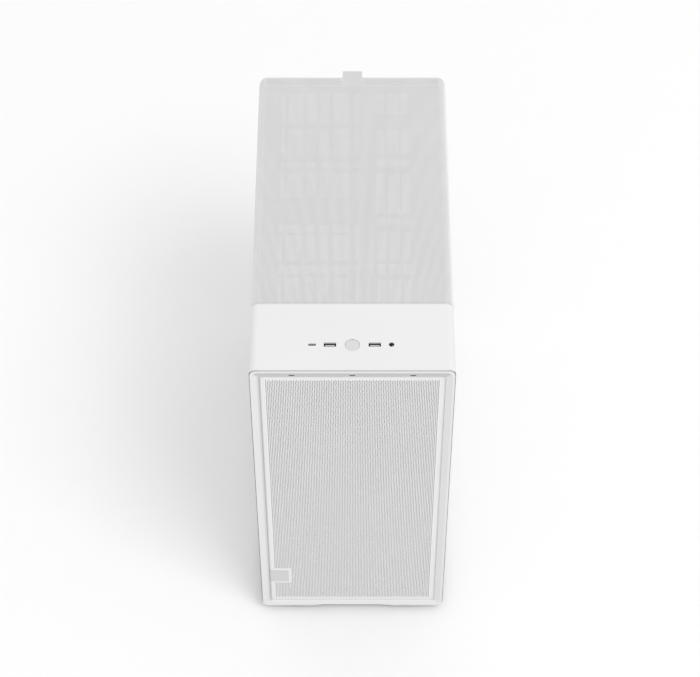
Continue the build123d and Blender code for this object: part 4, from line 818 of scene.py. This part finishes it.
TAG_Z = 71.2
bend = [(-96.62 + 0.42 - 0.42 * math.sin(a), PANEL_FACE - 0.02 - 0.40 * math.cos(a)) for a in np.linspace(0, math.pi / 2, 8)]
path = [((-74.95, PANEL_FACE - 0.40, TAG_Z), (0, -1, 0)), ((-96.0, PANEL_FACE - 0.40, TAG_Z), (0, -1, 0))]
for k, a in enumerate(np.linspace(0, math.pi / 2, 8)[1:]):
    path.append(((-96.2 - 0.45 * math.sin(a), PANEL_FACE + 0.05 - 0.45 * math.cos(a), TAG_Z), (-math.sin(a), -math.cos(a), 0)))
path.append(((-96.65, PANEL_FACE + 2.9, TAG_Z), (-1, 0, 0)))
front_tag, tag_len = tape("front_tag_tape", path, 11.15, (0, 0, 1), None, 0.68, MAT["tag_fabric"], "front_mesh")
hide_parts("front_pull_tag")

end_y = BACK_Y + 13.0 - 1.15
path = [((0, BACK_Y - 8.8, TAB_Z + 0.60), (0, 0, 1)), ((0, end_y, TAB_Z + 0.60), (0, 0, 1))]
for a in np.linspace(0, math.pi, 14)[1:-1]:
    path.append(((0, end_y + 0.60 * math.sin(a), TAB_Z + 0.60 * math.cos(a)), (0, math.sin(a), math.cos(a))))
path += [((0, end_y, TAB_Z - 0.60), (0, 0, -1)), ((0, BACK_Y - 8.8, TAB_Z - 0.60), (0, 0, -1))]
rear_tab, tab_len = tape("rear_tab_tape", path, 11.15, (1, 0, 0), None, 1.0, MAT["tag_fabric"], "top_mesh")
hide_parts("rear_pull_tab")
clamp = slabs("rear_tab_clamp", [(-13.4, 13.4, BACK_Y - 8.9, BACK_Y - 5.5, TAB_Z + 1.1, TAB_Z + 1.8), (-13.4, 13.4, BACK_Y - 8.9, BACK_Y - 5.5, TAB_Z - 1.8, TAB_Z - 1.1),
                                 (-13.4, -11.3, BACK_Y - 8.8, BACK_Y - 5.6, TAB_Z - 1.7, TAB_Z + 1.7), (11.3, 13.4, BACK_Y - 8.8, BACK_Y - 5.6, TAB_Z - 1.7, TAB_Z + 1.7)],
              MAT["white_mesh"], "top_mesh")

# ---------------------------------------------------------------------------
# sockets under the cap
# ---------------------------------------------------------------------------
PORT_Y = FRONT_Y + 34.9 + 0.6
usb_shell, usb_tongue, usb_spring, usb_gold = [], [], [], []
for ux in (-23.4, 23.4):
    x0, x1, y0, y1 = ux - 6.55, ux + 6.55, PORT_Y - 2.86, PORT_Y + 2.86
    usb_shell += [(x0, x1, y0, y0 + 0.3, 453.6, 467.65), (x0, x1, y1 - 0.3, y1, 453.6, 467.65),
                  (x0, x0 + 0.3, y0 + 0.05, y1 - 0.05, 453.6, 467.65), (x1 - 0.3, x1, y0 + 0.05, y1 - 0.05, 453.6, 467.65),
                  (x0 + 0.1, x1 - 0.1, y0 + 0.1, y1 - 0.1, 453.6, 455.4)]
    usb_tongue.append((ux - 5.0, ux + 5.0, PORT_Y - 1.35, PORT_Y - 0.05, 455.2, 469.1))
    # dark strip in front of each tongue hides its front face: painted shade
    usb_shell.append((ux - 5.1, ux + 5.1, PORT_Y - 1.75, PORT_Y - 1.40, 455.2, 468.8))
    for k in (-3.5, -1.0, 1.0, 3.5):
        usb_gold.append((ux + k - 0.5, ux + k + 0.5, PORT_Y - 0.1, PORT_Y + 0.05, 460.0, 468.4))
    for k in (-3.0, 3.0):
        usb_spring.append((ux + k - 0.9, ux + k + 0.9, PORT_Y + 1.9, PORT_Y + 2.2, 461.0, 467.3))
shell = slabs("usb_a_shells", usb_shell, MAT["port_dark"], "chassis", bevel=0.00006)
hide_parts("usb_a_sockets")
for name, boxes, key, sl in (("usb_a_tongues", usb_tongue, "nylon_mid", "port_metal"), ("usb_a_springs", usb_spring, "port_dark", "port_metal"),
                             ("usb_a_contacts", usb_gold, "gold", "brass_parts")):
    slabs(name, boxes, MAT[key], "chassis", bevel=0.00006)


def outline_slot(length, height, seg=12):
    r = height / 2
    c = length / 2 - r
    pts = [(c + r * math.cos(a), r * math.sin(a)) for a in np.linspace(-math.pi / 2, math.pi / 2, seg)]
    pts += [(-c + r * math.cos(a), r * math.sin(a)) for a in np.linspace(math.pi / 2, 1.5 * math.pi, seg)]
    return np.array(pts)


def lofted(name, sections, mat, body, centre, smooth=True):
    """Closed stack of equal outlines: sections are (points, z); the first and last are filled."""
    n = len(sections[0][0])
    verts = np.concatenate([np.concatenate([p + np.array(centre), np.full((n, 1), z)], 1) for p, z in sections]) * MM
    i = np.arange(n)
    quads = [np.stack([a * n + i, a * n + np.roll(i, -1), (a + 1) * n + np.roll(i, -1), (a + 1) * n + i], 1) for a in range(len(sections) - 1)]
    caps = [np.array([list(range(n))[::-1]]), np.array([[(len(sections) - 1) * n + k for k in range(n)]])]
    ob = mesh_object(name, verts, [np.concatenate(quads)] + caps, mat, [smooth, False, False], body)
    bm = bmesh.new()
    bm.from_mesh(ob.data)
    bmesh.ops.recalc_face_normals(bm, faces=bm.faces)
    bm.to_mesh(ob.data)
    bm.free()
    ob.modifiers.new("normals", "WEIGHTED_NORMAL")
    return ob


c_at = (-42.1, PORT_Y)
usb_c = lofted("usb_c_shell", [(outline_slot(8.94, 3.16), 453.6), (outline_slot(8.94, 3.16), 467.55), (outline_slot(8.74, 2.96), 467.65),
                               (outline_slot(8.5, 2.72), 467.65), (outline_slot(8.34, 2.56), 467.5), (outline_slot(8.34, 2.56), 461.2)],
               MAT["port_dark"], "chassis", c_at)
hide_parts("usb_c_socket")
slabs("usb_c_tongue", [(-42.1 - 3.3, -42.1 + 3.3, PORT_Y - 0.80, PORT_Y - 0.10, 461.0, 468.0)], MAT["nylon_dark"], "chassis", bevel=0.00008)


def ring_of(r, seg=40):
    return np.array([(r * math.cos(a), r * math.sin(a)) for a in np.linspace(0, 2 * math.pi, seg, endpoint=False)])


a_at = (40.9, PORT_Y)
collar = lofted("audio_collar", [(ring_of(2.7), 466.0), (ring_of(2.7), 469.35), (ring_of(2.55), 469.55), (ring_of(2.0), 469.6),
                                 (ring_of(1.78), 469.4), (ring_of(1.75), 468.8), (ring_of(1.75), 455.8)], MAT["port_dark"], "chassis", a_at)
jack = slabs("audio_body", [(40.9 - 3.4, 40.9 + 3.4, PORT_Y - 3.0, PORT_Y - 1.9, 453.6, 466.0), (40.9 - 3.4, 40.9 + 3.4, PORT_Y + 1.9, PORT_Y + 3.0, 453.6, 466.0),
                            (40.9 - 3.4, 40.9 - 1.9, PORT_Y - 2.0, PORT_Y + 2.0, 453.6, 465.95), (40.9 + 1.9, 40.9 + 3.4, PORT_Y - 2.0, PORT_Y + 2.0, 453.6, 465.95)],
             MAT["black_plastic"], "chassis", bevel=0.0001)
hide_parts("audio_socket")
leaf = slabs("audio_contact", [(40.9 + 0.9, 40.9 + 1.5, PORT_Y - 0.5, PORT_Y + 0.5, 462.0, 468.4)], MAT["port_metal"], "chassis", bevel=0.00008)


# ---------------------------------------------------------------------------
# carried-over shapes: finishes and small rounded edges
# ---------------------------------------------------------------------------
PLAIN = {"cooler_heatsink", "board_standoffs", "chassis_top_plate", "chassis_rear_panel", "power_supply_case"}
WIDTH = {"front_bezel": 0.0004, "top_cap": 0.00035, "power_button": 0.0003, "feet": 0.0008, "motherboard": 0.0001,
         "usb_a_sockets": 0.00012, "usb_c_socket": 0.00012, "io_shield": 0.0001, "left_side_panel": 0.0003,
         "right_side_panel": 0.0003, "power_harness": 0.0004}
WINDOWED = {"cooler_fan_frame", "front_fan_frame_bottom", "front_fan_frame_middle", "front_fan_frame_top", "rear_fan_frame",
            "psu_fan_frame", "drive_cage", "dust_filter", "io_shield", "rear_ports", "graphics_card_shroud", "slot_screws",
            "power_light", "power_switch", "power_rocker", "chassis_front_plate", "motherboard_tray", "psu_shroud"}
for name, ob in NODES.items():
    if name in ("front_mesh_panel", "top_mesh_panel", "front_pull_tag", "rear_pull_tab", "usb_a_sockets", "usb_c_socket", "audio_socket"):
        continue
    slot_name = ob.data.materials[0].name.split(".")[0] if ob.data.materials and ob.data.materials[0] else "white_plastic"
    for k in range(len(ob.material_slots)):
        nm = ob.material_slots[k].material.name.split(".")[0] if ob.material_slots[k].material else slot_name
        ob.material_slots[k].material = MAT.get(nm, MAT["white_plastic"])
    if name == "front_bezel":
        ob.material_slots[0].material = MAT["bezel_plastic"]
    # the top plate gets plate_coat: painted shade under the top mesh
    if name == "chassis_top_plate":
        ob.material_slots[0].material = MAT["plate_coat"]
    if name not in PLAIN:
        soften(ob, WIDTH.get(name, 0.0002), planar=name not in WINDOWED)

# net in the windows of the dust filter: crossing threads under its thin sheet
net = []
fx0, fx1, fy0, fy1 = [v * 1000 for v in (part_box("dust_filter")[0][0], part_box("dust_filter")[1][0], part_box("dust_filter")[0][1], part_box("dust_filter")[1][1])]
for k in range(3):
    for m in range(3):
        cx = (fx0 + fx1) / 2 + (k - 1) * 44.0
        cy = (fy0 + fy1 - 14.0) / 2 + (m - 1) * 54.0
        net += [(cx - 20.0 + 2.0 * i - 0.3, cx - 20.0 + 2.0 * i + 0.3, cy - 25.0, cy + 25.0, 10.0, 10.4) for i in range(1, 20)]
        net += [(cx - 20.0, cx + 20.0, cy - 25.0 + 2.0 * i - 0.3, cy - 25.0 + 2.0 * i + 0.3, 10.2, 10.6) for i in range(1, 25)]
net_ob = slabs("dust_filter_net", net, MAT["nylon_dark"], "filter", bevel=0.00008, segments=1)

# ---------------------------------------------------------------------------
# floor
# ---------------------------------------------------------------------------
bm = bmesh.new()
bmesh.ops.create_grid(bm, x_segments=8, y_segments=8, size=6.0)
floor = bm_object("studio_floor", bm, FLOOR, None, False)
floor.location = (0, 0, -0.0002)

bpy.context.view_layer.update()
